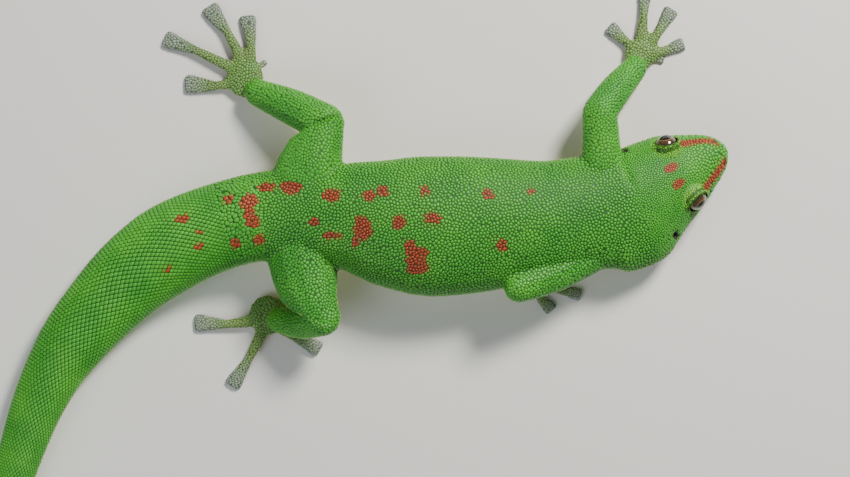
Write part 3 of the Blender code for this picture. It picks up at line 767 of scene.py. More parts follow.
# Two rings of scales round each eye: radius, offset and how far out from the eye's middle.
lidSettings = {
    "rings": ((3.22, 0.0, 1.35), (3.86, 0.5, 1.0)), "count": 34, "pitch": 0.56, "edge": (2.86, 1.1),
    "clear": (3.05, 3.02),
}
eyeLooks = []
for middle, side in zip(eyeCentres, (1, -1)):
    index = lineIndex(eyeSettings["distance"])
    ahead, out, rise = eyeSettings["look"]
    look = unit(np.array([*(-lineBack[index] * ahead + lineLeft[index] * side * out), rise]))
    first = unit(np.cross(look, (0, 0, 1)))
    second = np.cross(look, first)
    eyeLooks.append(look)
    for radius, offset, lift in lidSettings["rings"]:
        spoke = spokes(first, second, evenly(lidSettings["count"], offset))
        addFixed(middle + look * lift + spoke * radius, lidSettings["pitch"])
    radius, lift = lidSettings["edge"]
    addGhosts(middle + look * lift + spokes(first, second, evenly(48)) * radius, 0.22)


def ovalRim(opening, more, turn):
    return opening["spot"] + spokes(
        opening["back"] * (opening["halfLong"] + more), opening["upward"] * (opening["halfHigh"] + more), turn)


for opening in placedOpenings:
    addGhosts(ovalRim(opening, 0.0, evenly(24)), 0.15)
    addFixed(ovalRim(opening, opening["rimOut"], evenly(opening["rimCount"], 0.5)), opening["rimPitch"])

# Broad plates along the underside of the tail. Their tones go with the rings and the top: painted shade darkens
# each plate's rim, and the paler ring inside it is the plates' own pale edge.
plateSettings = {
    "start": 160, "end": 252, "sides": 32, "rings": ((1.0, -0.4), (0.965, 0.72), (0.76, 0.95), (0.38, 1.0)),
    "shadedTones": (0.42, 1.22, 1.0, 1.0, 1.0), "powers": (0.66, 0.86), "thick": 0.24, "overlap": 0.60, "sway": 0.10,
    "lengths": ((160, 180, 215, 255), (3.3, 2.9, 2.3, 1.1)), "bows": ((160, 170, 190), (0.35, 0.30, 0.14)),
    "widths": ((160, 172, 200, 250), (0.42, 0.52, 0.56, 0.66)),
}
plates, distance = [], plateSettings["start"]
while distance < plateSettings["end"]:
    half, *_ = crossSection(distance)
    wide = float(half * np.interp(distance, *plateSettings["widths"]))
    length = float(np.interp(distance, *plateSettings["lengths"]))
    plates.append((distance + length / 2, wide, length, rng.normal(0, plateSettings["sway"])))
    distance += length
for at, wide, length, shift in plates:
    for edge in (-1, 1):
        angle = -math.pi / 2 + (edge * (wide - 0.1) + shift) / float(girth(at))
        for step in (-0.3, 0.3):
            addGhosts(ringPlace(np.array([at + step * length]), np.array([angle])), 0.12)


# Places that the broad plates cover.
def underPlates(s, aside, up):
    covered = np.zeros(len(s), bool)
    for at, wide, length, _ in plates:
        covered |= (abs(s - at) <= length * 0.55) & (abs(aside) < wide + 0.25) & (up < -0.2)
    return covered


def underPads(points, normals):
    covered = np.zeros(len(points), bool)
    low = (points[:, 2] < 0.5) & (normals[:, 2] < -0.5)
    for pad in pads:
        along, across = points[:, :2] @ pad["ahead"], points[:, :2] @ pad["aside"]
        inside = (along > pad["root"] - 0.3) & (along < pad["tip"])
        middle, half = padSpan(pad, np.clip(along, pad["root"], pad["tip"] - 0.05))
        covered |= low & inside & (abs(across - middle) < half + 0.05)
    return covered


# Seeds: even rows first, then random places everywhere, thinned to the pitch.
# For rows: start, end, (distances, pitches), step along, middle of the row and its spread round the trunk.
below, above = -math.pi / 2, math.pi / 2
rowSettings = {
    "belly": (18, vent + 2, ((18,), (1.62,)), 0.80, below, 1.0),
    "tailUnder": (vent + 3, 159, ((119, 127, 136, 159), (1.9, 2.8, 4.5, 4.6)), 0.62, below, 0.50),
    "tailBack": (vent + 10, tailEnd - 3, ((119, 132, 160, 200, 257), (0.78, 0.97, 1.10, 0.88, 0.48)),
                 0.86, above, 1.5),
}
dartSettings = {"tries": 3.6, "loose": 0.80, "tight": 0.66, "leastInBelly": 1.15}
seeds = [rows(*row) for row in rowSettings.values()]
corner = skinPoints[skinFaces]
areas = np.linalg.norm(np.cross(corner[:, 1] - corner[:, 0], corner[:, 2] - corner[:, 0]), axis=1) / 2
wanted = areas / skinPitch[skinFaces].mean(axis=1) ** 2
chosen = rng.choice(len(skinFaces), size=int(wanted.sum() * dartSettings["tries"]), p=wanted / wanted.sum())
weights = rng.dirichlet((1, 1, 1), size=len(chosen))
darts = (skinPoints[skinFaces[chosen]] * weights[:, :, None]).sum(axis=1)
fixedPoints, fixedPitch = np.concatenate(fixed), np.concatenate(fixedPitch)
ghostPoints, ghostPitch = np.concatenate(ghosts), np.concatenate(ghostPitch)
fixedPoints, _, _ = nearestOn(skinTree, fixedPoints)
rowCount = sum(len(points) for points in seeds)
candidates = np.concatenate([fixedPoints] + seeds + [darts])
candidates, candidateNormals, faces = nearestOn(skinTree, candidates)
pitches = skinPitch[skinFaces[faces]].mean(axis=1)
pitches[:len(fixedPoints)] = fixedPitch
inRow = np.arange(len(candidates)) < len(fixedPoints) + rowCount


def treeOf(points):
    tree = KDTree(len(points))
    for i, point in enumerate(points):
        tree.insert(point, i)
    tree.balance()
    return tree


# Places in the eye sockets, the mouth, the nostrils or the ears, where no scale grows.
def inOpening(points):
    inside = np.zeros(len(points), bool)
    socket, ball = lidSettings["clear"]
    for middle, look in zip(eyeCentres, eyeLooks):
        away = points - middle
        deep = away @ look
        inside |= (deep > -1.5) & (np.linalg.norm(away - deep[:, None] * look, axis=1) < socket) & (deep < 4)
        inside |= np.linalg.norm(away, axis=1) < ball
    rise, beside = onMouth(points)
    tall = (lipSettings["above"] + lipSettings["high"]) * lipTaper(alongTrunk(points)[0])
    inside |= beside & (abs(rise) < tall + 0.18)
    for opening in placedOpenings:
        level = (points - opening["spot"]) @ opening["normal"]
        inside |= (ovalReach(opening, points, 0.12) < 1) & (abs(level) < 2.2)
    return inside


s, aside, _ = alongTrunk(candidates)
up = crossAngle(candidates, s, aside)
refused = inOpening(candidates) | underPads(candidates, candidateNormals)
refused |= (s > plateSettings["start"]) & underPlates(s, aside, up)
bellyRows = slice(len(fixedPoints), len(fixedPoints) + len(seeds[0]))
refused[bellyRows] |= pitches[bellyRows] < dartSettings["leastInBelly"]
refused[:len(fixedPoints)] = False
tree = treeOf(candidates)
kept = []
for i in range(len(candidates)):
    if not refused[i]:
        kept.append(i)
        for _, j, gap in tree.find_range(candidates[i], pitches[i] * dartSettings["loose"]):
            if j > i and (not inRow[j] or gap < dartSettings["tight"] * pitches[i]):
                refused[j] = True
kept = np.array(kept)
isFixed = kept < len(fixedPoints)
roots, rootPitch = candidates[kept], pitches[kept]
stamp(f"{len(roots)} scales placed from {len(candidates)} candidates, {isFixed.sum()} of them fixed")


# Scales and ghosts together, the room each takes, and the indexes of the nearest to each scale.
def neighbours(points, pitch, count):
    everything, spacing = np.concatenate([points, ghostPoints]), np.concatenate([pitch, ghostPitch])
    tree = treeOf(everything)
    near = np.array([[j for _, j, _ in tree.find_n(point, count)] for point in points])[:, 1:]
    return everything, spacing, near


relaxSettings = {"rounds": 6, "neighbours": 8, "spread": 1.04, "step": 0.42}


# Pushes crowded scales apart over the skin until they lie like cells.
def relaxed(points, pitch, held):
    for _ in range(relaxSettings["rounds"]):
        everything, spacing, near = neighbours(points, pitch, relaxSettings["neighbours"])
        apart = points[:, None] - everything[near]
        gap = np.maximum(np.linalg.norm(apart, axis=2), 1e-6)
        want = (pitch[:, None] + spacing[near]) / 2
        push = np.clip(relaxSettings["spread"] - gap / want, 0, 1)
        move = (apart / gap[:, :, None] * (push * want)[:, :, None]).sum(axis=1) * relaxSettings["step"]
        move[held] = 0
        points, _, faces = nearestOn(skinTree, points + move)
    return points, faces


roots, faces = relaxed(roots, rootPitch, isFixed)
normals = unit(skinNormals[skinFaces[faces]].mean(axis=1))
s, aside, _ = alongTrunk(roots)
bad = (s > plateSettings["start"]) & underPlates(s, aside, crossAngle(roots, s, aside))
bad = (bad | underPads(roots, normals) | inOpening(roots)) & ~isFixed
roots, normals, rootPitch, isFixed = roots[~bad], normals[~bad], rootPitch[~bad], isFixed[~bad]
about = describe(roots, normals)
tint = markings(about)
stamp("scales relaxed")


# How far scales keep off the floor, in millimetres, and the size of each one's patch in the bake map.
floorGap = 0.02
patchSize = 0.0015
cellSettings = {"neighbours": 13, "leastSlope": 0.08, "fill": 0.64, "least": 0.16, "most": 1.42}


# How far each scale reaches in each direction. Each fills its cell between its neighbours, less a groove, as a
# low dome rooted in the skin.
def cellReach(points, normals, forward, across, pitch, sides, groove):
    everything, spacing, near = neighbours(points, pitch, cellSettings["neighbours"])
    facing = np.concatenate([normals, np.zeros_like(ghostPoints)])
    offset = everything[near] - points[:, None]
    x, y = (offset * forward[:, None]).sum(axis=2), (offset * across[:, None]).sum(axis=2)
    flat = np.maximum(np.hypot(x, y), 1e-6)
    alike = (facing[near] * normals[:, None]).sum(axis=2)
    ignore = ((alike < 0.15) & (near < len(points))) | (flat < 0.05)
    limit = flat * (pitch[:, None] / (pitch[:, None] + spacing[near])) - groove[:, None] / 2
    reach = np.empty((len(points), sides))
    for k in range(sides):
        turn = 2 * math.pi * k / sides
        slope = (x * math.cos(turn) + y * math.sin(turn)) / flat
        met = (slope > cellSettings["leastSlope"]) & ~ignore
        reach[:, k] = np.where(met, limit / np.maximum(slope, cellSettings["leastSlope"]), 99).min(axis=1)
    ownGaps = np.where(ignore | (near >= len(points)), 99, flat)
    ownGaps.sort(axis=1)
    nearby = np.clip(ownGaps[:, 1:6].mean(axis=1), 0, pitch * 1.8) * cellSettings["fill"]
    typical = np.minimum(np.median(reach, axis=1), nearby)
    least, most = pitch * cellSettings["least"], typical * cellSettings["most"]
    return np.clip(reach, least[:, None], most[:, None]), typical


def picked(about, mask):
    return {key: value[mask] for key, value in about.items()}


# For each point of a dome: its share of the reach, its share of the height, its angle and its side.
def ringed(rings, sides):
    share = np.concatenate([np.repeat([out for out, _ in rings], sides), [0.0]])
    lift = np.concatenate([np.repeat([rise for _, rise in rings], sides), [1.0]])
    side = np.concatenate([np.tile(np.arange(sides), len(rings)), [0]])
    return share, lift, side * 2 * math.pi / sides, side


def shaded(shades, sides):
    return np.concatenate([np.repeat(shades[:-1], sides), [shades[-1]]])


# The mesh, with a colour at each point and a patch for each scale in the bake map.
def finishScales(name, points, faces, tint, places):
    made = meshFrom(name, points, faces)
    setColour(made.data, "tint", tint)
    layer = made.data.uv_layers.new(name="OFBake")
    layer.data.foreach_set("uv", places[faces.ravel()].astype(np.float32).ravel())
    return made


def scaleMesh(name, about, reach, pitch, kind, tint):
    n, sides = reach.shape
    forward, up = about["flow"], about["normal"]
    across = np.cross(up, forward)
    share, lift, way, side = ringed(kind["rings"], sides)
    above = lift[None] > 0
    grown = reach[:, side] * share[None] * (1 + kind["overlap"] * np.clip(np.cos(way), 0, 1)[None] * above)
    x, y = grown * np.cos(way)[None], grown * np.sin(way)[None]
    z = lift[None] * (pitch * kind["height"])[:, None] + np.where(above, x * kind["tilt"], 0)
    flat = about["at"][:, None] + forward[:, None] * x[..., None] + across[:, None] * y[..., None]
    if kind["hug"]:
        flat = nearestOn(skinTree, flat.reshape(-1, 3))[0].reshape(flat.shape)
    points = (flat + up[:, None] * z[..., None]).reshape(-1, 3)
    points[:, 2] = np.maximum(points[:, 2], floorGap)
    # Each point's colour is the scale's tint times its ring's shade: painted shade at the rim and, on most kinds,
    # a painted highlight at the top.
    shadedTones = (tint[:, None] * shaded(kind["shade"], sides)[None, :, None]).reshape(-1, 3)
    patch = np.column_stack([share * np.cos(way), share * np.sin(way)]) * patchSize
    places = (bakePlace(about)[:, None] + patch[None]).reshape(-1, 2)
    return finishScales(name, points, domeFaces(sides, len(kind["rings"]), n), shadedTones, places)


# Where a scale's root lies on a flat map of the skin: the trunk slit along the belly, each leg in a box below it.
def bakePlace(about):
    turn = np.where(about["aside"] > 0, 1, -1) * (1 - about["up"]) / 2
    place = np.column_stack([0.01 + 0.98 * about["s"] / tailEnd, 0.74 + 0.24 * turn])
    for number, leg in enumerate(legs):
        mine = np.array([name.endswith(leg) for name in flesh])[about["owner"]]
        if mine.any():
            low, high = about["at"][mine].min(axis=0), about["at"][mine].max(axis=0)
            flat = (about["at"][mine] - low) / np.maximum(high - low, 1e-6)
            place[mine, 0] = 0.01 + 0.25 * number + 0.23 * flat[:, 0]
            place[mine, 1] = 0.01 + 0.22 * flat[:, 1] + 0.24 * (about["normal"][mine, 2] < 0)
    return np.clip(place, 0.005, 0.995)


# Scales by region. The rings run from the rim in as (share of the reach, share of the height), and the shades go
# with them, with one more for the top. The shades are painted light and shade: painted shade darkens the rim,
# where each scale sinks into its groove, and on most kinds the ring inside it too, and most kinds get a painted
# highlight on the top. On the tail and its underside the ring inside the rim is paler instead, the scales' own
# pale edge. A kind that hugs is bent to the skin.
kindKeys = ("sides", "rounded", "height", "tilt", "overlap", "groove", "rings", "shade", "hug")
kinds = {name: dict(zip(kindKeys, values)) for name, values in {
    "head": (8, 0.0, 0.24, 0.0, 0.0, 0.05,
        ((1.0, -0.7), (0.94, 0.45), (0.60, 0.90)), (0.42, 0.80, 1.0, 1.04), False),
    "jowl": (8, 0.3, 0.34, 0.0, 0.0, 0.30,
        ((1.0, -0.7), (0.90, 0.45), (0.55, 0.88)), (0.40, 0.84, 1.1, 1.18), False),
    "back": (7, 0.0, 0.27, 0.05, 0.0, 0.09,
        ((1.0, -0.7), (0.92, 0.42), (0.55, 0.88)), (0.40, 0.80, 1.0, 1.05), False),
    "flank": (8, 0.3, 0.26, 0.08, 0.04, 0.12,
        ((1.0, -0.7), (0.92, 0.45), (0.55, 0.90)), (0.40, 0.84, 1.0, 1.05), True),
    "limbs": (9, 0.3, 0.22, 0.10, 0.10, 0.06,
        ((1.0, -0.7), (0.94, 0.45), (0.58, 0.90)), (0.40, 0.82, 1.0, 1.06), True),
    "feet": (7, 0.0, 0.20, 0.04, 0.04, 0.05,
        ((1.0, -0.7), (0.90, 0.45), (0.50, 0.90)), (0.50, 0.85, 1.0, 1.04), True),
    "belly": (10, 0.3, 0.15, 0.13, 0.12, 0.13,
        ((1.0, -0.9), (0.95, 0.55), (0.62, 0.96)), (0.36, 0.86, 1.0, 1.02), True),
    "tail": (8, 0.45, 0.20, 0.22, 0.14, 0.07,
        ((1.0, -0.8), (0.93, 0.50), (0.58, 0.92)), (0.42, 1.10, 1.0, 1.0), True),
    "tailUnder": (16, 0.85, 0.10, 0.10, 0.13, 0.05,
        ((1.0, -0.9), (0.965, 0.60), (0.70, 0.95)), (0.42, 1.25, 1.0, 1.0), True),
}.items()}

s, up, side = about["s"], about["up"], about["part"]
onTrunk = side == "trunk"
kindOf = np.full(len(roots), "back", object)
kindOf[onTrunk & (up < 0.0)] = "flank"
kindOf[onTrunk & (up < -0.34)] = "belly"
kindOf[onTrunk & (about["neck"] < 0.2)] = "head"
kindOf[onTrunk & (s > 13) & (about["neck"] < 3) & (up < 0.0) & (up > -0.66)] = "jowl"
kindOf[onTrunk & (s > vent)] = "tail"
kindOf[onTrunk & (s > vent + 2) & (up < -0.36)] = "tailUnder"
kindOf[(side == "arm") | (side == "leg")] = "limbs"
kindOf[(side == "foot") | (side == "toe")] = "feet"
kindOf[isFixed] = "head"
tint *= (0.88 + 0.24 * rng.random(len(roots)))[:, None]
across = np.cross(normals, about["flow"])
coat = []
for kindName, kind in kinds.items():
    mine = np.flatnonzero(kindOf == kindName)
    mine = mine[np.argsort(s[mine], kind="stable")]
    reach, typical = cellReach(
        roots, normals, about["flow"], across, rootPitch, kind["sides"], rootPitch * kind["groove"])
    rear = np.cos(evenly(kind["sides"]))[None] > 0.1
    rounded = kind["rounded"] * np.where(s > plateSettings["start"] - 3, 0.3, 1.0)[:, None]
    reach = np.where(rear, reach + (typical[:, None] * 1.14 - reach) * rounded, reach)[mine]
    thing = scaleMesh(f"scales_{kindName}", picked(about, mine), reach, rootPitch[mine], kind, tint[mine])
    coat.append(thing)
    stamp(f"{thing.name}: {len(mine)} scales, {len(thing.data.polygons)} faces")


# Broad plates on the tail and the lips are laid in the same way, but each on its own oblong.
def squared(value, power):
    return np.sign(value) * abs(value) ** power


# Plates given as (places and normals of (u, v), half length, half width, bow, place in the bake map).
def plateMesh(name, oblongs, settings):
    sides, rings = settings["sides"], settings["rings"]
    share, lift, way, _ = ringed(rings, sides)
    u, v = (share * squared(wave, power) for wave, power in zip((np.cos(way), np.sin(way)), settings["powers"]))
    points, normals, maps = [], [], []
    for laid, halfLong, halfWide, bow, mapPlace in oblongs:
        maps.append(np.column_stack([u, v]) * patchSize + mapPlace)
        along = (u - bow * v ** 2) * halfLong
        places, facing = laid(along, v * halfWide)
        level = lift * settings["thick"] + np.where(lift > 0, along * 0.05, 0.0)
        points.append(places + facing * level[:, None])
        normals.append(facing)
    points, normals = np.concatenate(points), np.concatenate(normals)
    points[:, 2] = np.maximum(points[:, 2], floorGap)
    # Each plate is turned to face the way the skin does.
    faces = domeFaces(sides, len(rings), len(oblongs))
    corner = points[faces]
    outward = np.cross(corner[:, 1] - corner[:, 0], corner[:, 2] - corner[:, 0])
    outward = (outward * normals[faces[:, 0]]).sum(axis=1)
    flipped = outward.reshape(len(oblongs), -1).sum(axis=1) < 0
    faces = faces.reshape(len(oblongs), -1, 3)
    faces[flipped] = faces[flipped][:, :, ::-1]
    # Each point's colour is the marking times its ring's tone, with painted shade at the rim.
    tone = markings(describe(points, normals)) * np.tile(shaded(settings["shadedTones"], sides), len(oblongs))[:, None]
    tone *= np.repeat(0.92 + 0.16 * rng.random(len(oblongs)), len(way))[:, None]
    return finishScales(name, points, faces.reshape(-1, 3), tone, np.concatenate(maps))


def tailOblong(at, wide, length, shift):
    radius = float(girth(at))

    def laid(u, v):
        return nearestOn(skinTree, ringPlace(at + u, -math.pi / 2 + (v + shift) / radius))[:2]

    bow = float(np.interp(at, *plateSettings["bows"]))
    return laid, length * plateSettings["overlap"], wide, bow, (0.01 + 0.98 * at / tailEnd, 0.985)


# A plate whose places are cast onto the side of the lips, then smoothed so that it doesn't follow each dent.
def lipOblong(line, keys, start, length, side, rise, halfHigh, at):
    first, last = (
        np.array([np.interp(key, keys, line[:, axis]) for axis in range(3)]) for key in (start, start + length))
    along = unit(last - first)
    upward = unit(np.array([0, 0, 1]) - along * along[2])
    outward = np.cross(along, upward) * side
    middle = (first + last) / 2 + upward * rise

    def laid(u, v):
        flat = middle + u[:, None] * along + v[:, None] * upward
        depth = np.zeros(len(flat))
        for i, point in enumerate(flat):
            place = skinTree.ray_cast(Vector(point + outward * 3), Vector(-outward), 8)[0]
            depth[i] = 0.0 if place is None else (np.array(place) - point) @ outward
        terms = np.column_stack([np.ones(len(u)), u, v, u * u, u * v, v * v])
        depth = terms @ np.linalg.lstsq(terms, depth, rcond=None)[0]
        return flat + outward * depth[:, None], np.tile(outward, (len(flat), 1))

    place = (0.01 + 0.98 * at / tailEnd, 0.74 + side * 0.12 + rise * 0.004)
    return laid, length * lipSettings["fill"], halfHigh, 0.0, place


coat.append(plateMesh("tail_plates", [tailOblong(*plate) for plate in plates], plateSettings))
lips = []
for side in (1, -1):
    lipAt = np.arange(0, lipSettings["end"] + 0.5, 0.05)
    line = mouthLine(side, lipAt)
    keys = chordKeys(line)
    for rise, start in zip((lipSettings["above"], -lipSettings["below"]), lipSettings["starts"]):
        while start < keys[-1] - 1.0:
            at = float(np.interp(start, keys, lipAt))
            length = float(np.interp(at, *lipSettings["lengths"]))
            small = float(lipTaper(at))
            lips.append(lipOblong(line, keys, start, length, side, rise * small, lipSettings["high"] * small, at))
            start += length
# Painted shade: the skin along the mouth line between the plates is darkened.
rise, beside = onMouth(skinPoints)
skinTint *= np.where(beside, np.interp(abs(rise), (0.18, 0.42), (0.22, 1.0)), 1.0)[:, None]
coat.append(plateMesh("lip_plates", lips, lipSettings))
stamp(f"{len(plates)} tail plates, {len(lips)} lip plates")

setColour(skin.data, "tint", skinTint)


def setInputs(node, values):
    for key, value in values.items():
        node.inputs[key].default_value = value


# Its base colour is the tint stored at each point, unless it is plain.
def newMaterial(name, inputs, tinted=True):
    made = bpy.data.materials.new(name)
    made.use_nodes = True
    shaderNodes, links = made.node_tree.nodes, made.node_tree.links
    shader = shaderNodes["Principled BSDF"]
    setInputs(shader, inputs)
    if tinted:
        tintNode = shaderNodes.new("ShaderNodeAttribute")
        tintNode.attribute_name = "tint"
        links.new(tintNode.outputs["Color"], shader.inputs["Base Color"])
    return made, shaderNodes, links, shader


skinLook = {
    "Specular IOR Level": 0.38, "Coat Roughness": 0.3, "Subsurface Weight": 0.10,
    "Subsurface Radius": (0.6, 0.5, 0.2), "Subsurface Scale": 0.0010,
}
grain = {"Scale": 3200, "Detail": 3}


def tintedMaterial(name, roughness, coatWeight, bump):
    look = skinLook | {"Roughness": roughness, "Coat Weight": coatWeight}
    made, shaderNodes, links, shader = newMaterial(name, look)
    where = shaderNodes.new("ShaderNodeTexCoord")
    noise = shaderNodes.new("ShaderNodeTexNoise")
    setInputs(noise, grain)
    links.new(where.outputs["Object"], noise.inputs["Vector"])
    relief = shaderNodes.new("ShaderNodeBump")
    setInputs(relief, {"Strength": bump, "Distance": 0.00006})
    links.new(noise.outputs["Fac"], relief.inputs["Height"])
    links.new(relief.outputs["Normal"], shader.inputs["Normal"])
    return made


skinMaterial = tintedMaterial("skin", 0.62, 0.0, 0.5)
scaleMaterial = tintedMaterial("scales", 0.44, 0.05, 0.35)
skin.data.materials.clear()
skin.data.materials.append(skinMaterial)
for thing in coat:
    thing.data.materials.append(scaleMaterial)


# Toe pads: thin folds across the root half of each pad, then one smooth sheet with a pale rim to the tip.
padFoldSettings = {
    "spacing": 0.60, "thickness": 0.20, "depth": 0.38, "share": 0.62, "bend": -0.0011, "level": 0.15,
    "cylinder": {"Vertices": 12, "Side Segments": 10, "Depth": 1.0},
}


# Lays one fold on every point, sized by the point's span.
def padFoldTree():
    tree = bpy.data.node_groups.new("pad folds", "GeometryNodeTree")
    for name, direction, kindOfSocket in (
        ("Geometry", "INPUT", "Geometry"), ("Depth", "INPUT", "Float"), ("Thickness", "INPUT", "Float"),
        ("Finish", "INPUT", "Material"), ("Geometry", "OUTPUT", "Geometry"),
    ):
        tree.interface.new_socket(name, in_out=direction, socket_type="NodeSocket" + kindOfSocket)
    add, join = tree.nodes.new, tree.links.new

    def calculated(operation, *values):
        node = add("ShaderNodeMath")
        node.operation = operation
        for socket, value in zip(node.inputs, values):
            if isinstance(value, float):
                socket.default_value = value
            else:
                join(value, socket)
        return node.outputs[0]

    def stored(name):
        node = add("GeometryNodeInputNamedAttribute")
        node.data_type = "FLOAT_VECTOR"
        node.inputs["Name"].default_value = name
        return node.outputs["Attribute"]

    given, result = add("NodeGroupInput"), add("NodeGroupOutput")
    depth, thickness = given.outputs["Depth"], given.outputs["Thickness"]
    fold = add("GeometryNodeMeshCylinder")
    setInputs(fold, padFoldSettings["cylinder"])
    join(calculated("MULTIPLY", depth, 0.5), fold.inputs["Radius"])
    # The cylinder is flattened to the fold's thickness and bent along its length.
    place, split, merge = (add(kind) for kind in (
        "GeometryNodeInputPosition", "ShaderNodeSeparateXYZ", "ShaderNodeCombineXYZ"))
    join(place.outputs[0], split.inputs[0])
    x, y, z = split.outputs
    join(calculated("MULTIPLY_ADD", calculated("MULTIPLY", z, z), padFoldSettings["bend"], x), merge.inputs["X"])
    join(calculated("MULTIPLY", y, calculated("DIVIDE", thickness, depth)), merge.inputs["Y"])
    join(z, merge.inputs["Z"])
    shape, lay = add("GeometryNodeSetPosition"), add("GeometryNodeInstanceOnPoints")
    join(fold.outputs["Mesh"], shape.inputs["Geometry"])
    join(merge.outputs[0], shape.inputs["Position"])
    join(given.outputs["Geometry"], lay.inputs["Points"])
    join(shape.outputs["Geometry"], lay.inputs["Instance"])
    join(stored("turn"), lay.inputs["Rotation"])
    join(stored("span"), lay.inputs["Scale"])
    real, finish = add("GeometryNodeRealizeInstances"), add("GeometryNodeSetMaterial")
    join(lay.outputs["Instances"], real.inputs["Geometry"])
    join(real.outputs["Geometry"], finish.inputs["Geometry"])
    join(given.outputs["Finish"], finish.inputs["Material"])
    join(finish.outputs["Geometry"], result.inputs["Geometry"])
    return tree


# The sheet's rings, from its skirt in: share of the outline, height and tone. The pale rim is only at the tip.
sheetSettings = {
    "rings": ((0.80, 0.60, 0.9), (0.97, 0.40, 1.2), (1.0, 0.10, 1.8), (0.93, 0.04, 1.9), (0.86, 0.08, 0.85),
              (0.5, 0.06, 0.80), (0.2, 0.06, 0.85)),
    "middle": (0.06, 0.85), "steps": 14, "gather": 1.6, "tipGap": 0.12, "rimSpan": (0.35, 0.75),
}
foldPlaces, foldTurns, foldSpans, sheetPoints, sheetTone = [], [], [], [], []
for pad in pads:
    ahead, aside, root, tip = pad["ahead"], pad["aside"], pad["root"], pad["tip"]
    change = root + (tip - root) * padFoldSettings["share"]
    # The fold's own long axis is Z, which is laid across the pad, and its thickness, Y, is turned upright.
    basis = Matrix(((ahead[0], 0, aside[0]), (ahead[1], 0, aside[1]), (0, -1, 0)))
    for along in np.arange(change - 0.2, root - 0.1, -padFoldSettings["spacing"]):
        middle, half = padSpan(pad, along)
        foldPlaces.append((*(ahead * along + aside * middle), padFoldSettings["level"]))
        foldTurns.append(tuple(basis.to_euler()))
        foldSpans.append((1, 1, max(half * 2 - 0.25, 0.4) * milli))
    # The smooth sheet: rings drawn in from the flat's outline.
    last = tip - sheetSettings["tipGap"]
    keys = last - (last - change) * np.linspace(1, 0, sheetSettings["steps"]) ** sheetSettings["gather"]
    middles, halfWide = padSpan(pad, keys)
    outline = np.concatenate([
        np.column_stack([keys, middles + halfWide]), np.column_stack([keys, middles - halfWide])[::-1],
    ])
    middle = outline.mean(axis=0)
    rimShare = smoothStep(outline[:, 0], *(change + (tip - change) * np.array(sheetSettings["rimSpan"])))
    plain = sheetSettings["middle"][1]
    for share, level, tone in sheetSettings["rings"]:
        ring = middle + (outline - middle) * share
        plan = ring[:, :1] * ahead + ring[:, 1:] * aside
        sheetPoints.append(np.column_stack([plan, np.full(len(plan), level)]))
        sheetTone.append(plain + (tone - plain) * rimShare)
    sheetPoints.append(np.array([[*(middle[0] * ahead + middle[1] * aside), sheetSettings["middle"][0]]]))
    sheetTone.append(np.array([plain]))

padLook = {"Base Color": (*colours["pad"], 1), "Roughness": 0.42, "Sheen Weight": 0.2}
foldPoints = bpy.data.meshes.new("pad_folds")
foldPoints.from_pydata([Vector(p) * milli for p in foldPlaces], [], [])
for name, values in (("turn", foldTurns), ("span", foldSpans)):
    attribute = foldPoints.attributes.new(name, "FLOAT_VECTOR", "POINT")
    attribute.data.foreach_set("vector", np.array(values, np.float32).ravel())
padFolds = linked("pad_folds", foldPoints)
tree = padFoldTree()
laid = padFolds.modifiers.new("folds", "NODES")
laid.node_group = tree
sockets = {item.name: item.identifier for item in tree.interface.items_tree if item.in_out == "INPUT"}
laid[sockets["Depth"]] = padFoldSettings["depth"] * milli
laid[sockets["Thickness"]] = padFoldSettings["thickness"] * milli
laid[sockets["Finish"]] = newMaterial("toe pads", padLook, tinted=False)[0]
applied(padFolds)
padFolds.data.shade_smooth()
sheetFaces = domeFaces(2 * sheetSettings["steps"], len(sheetSettings["rings"]), len(pads))
padSheets = meshFrom("pad_sheets", np.concatenate(sheetPoints), sheetFaces)
overFaces(bmesh.ops.recalc_face_normals, padSheets)
setColour(padSheets.data, "tint", colours["pad"][None] * np.concatenate(sheetTone)[:, None])
padSheets.data.materials.append(tintedMaterial("pad sheets", 0.45, 0.05, 0.2))
stamp(f"{len(foldPlaces)} pad folds")


# Nostrils and ears: a bowl in each opening, a little below the scales of its rim, coloured as painted shade that
# darkens towards the middle. Its rings, from the rim in: share of the opening, height as a share of the depth (in
# millimetres when above 0) and tone of painted shade.
bowlShadeColour = (0.16, 0.20, 0.08)
shadeBowlRings = ((1.15, 0.0, 0.25), (0.98, 0.02, 0.15), (0.80, -0.35, 0.05), (0.4, -0.8, 0.02))


def shadeBowls():
    points, shadedTones, turn = [], [], evenly(20)
    for opening in placedOpenings:
        long, high = opening["back"] * opening["halfLong"], opening["upward"] * opening["halfHigh"]
        for share, lift, tone in shadeBowlRings:
            height = lift * opening["bowl"] if lift < 0 else lift
            points.append(opening["spot"] + opening["normal"] * height + spokes(long, high, turn) * share)
            shadedTones += [tone] * len(turn)
        points.append([opening["spot"] - opening["normal"] * opening["bowl"]])
        shadedTones.append(0.01)
    faces = domeFaces(len(turn), len(shadeBowlRings), len(placedOpenings))
    made = meshFrom("opening_shade_bowls", np.concatenate(points), faces)
    setColour(made.data, "tint", np.array(shadedTones)[:, None] * bowlShadeColour)
    made.data.materials.append(skinMaterial)
    return made


bowls = shadeBowls()


# Eyes: a dark round pupil in a bronze iris under a clear spectacle.
# Angles are degrees from the middle of the pupil.
irisSettings = {
    "pupil": (0.002, 0.002, 0.002), "iris": (0.070, 0.032, 0.010), "ring": (0.32, 0.20, 0.06),
    "surround": (0.02, 0.012, 0.008), "irisFrom": (33, 36), "ringAt": 37.5, "ringWide": 1.8,
    "surroundFrom": (52, 62), "bulge": 0.05, "segments": (64, 48),
    "look": {"Roughness": 0.12, "Coat Weight": 1.0, "Coat Roughness": 0.03},
}


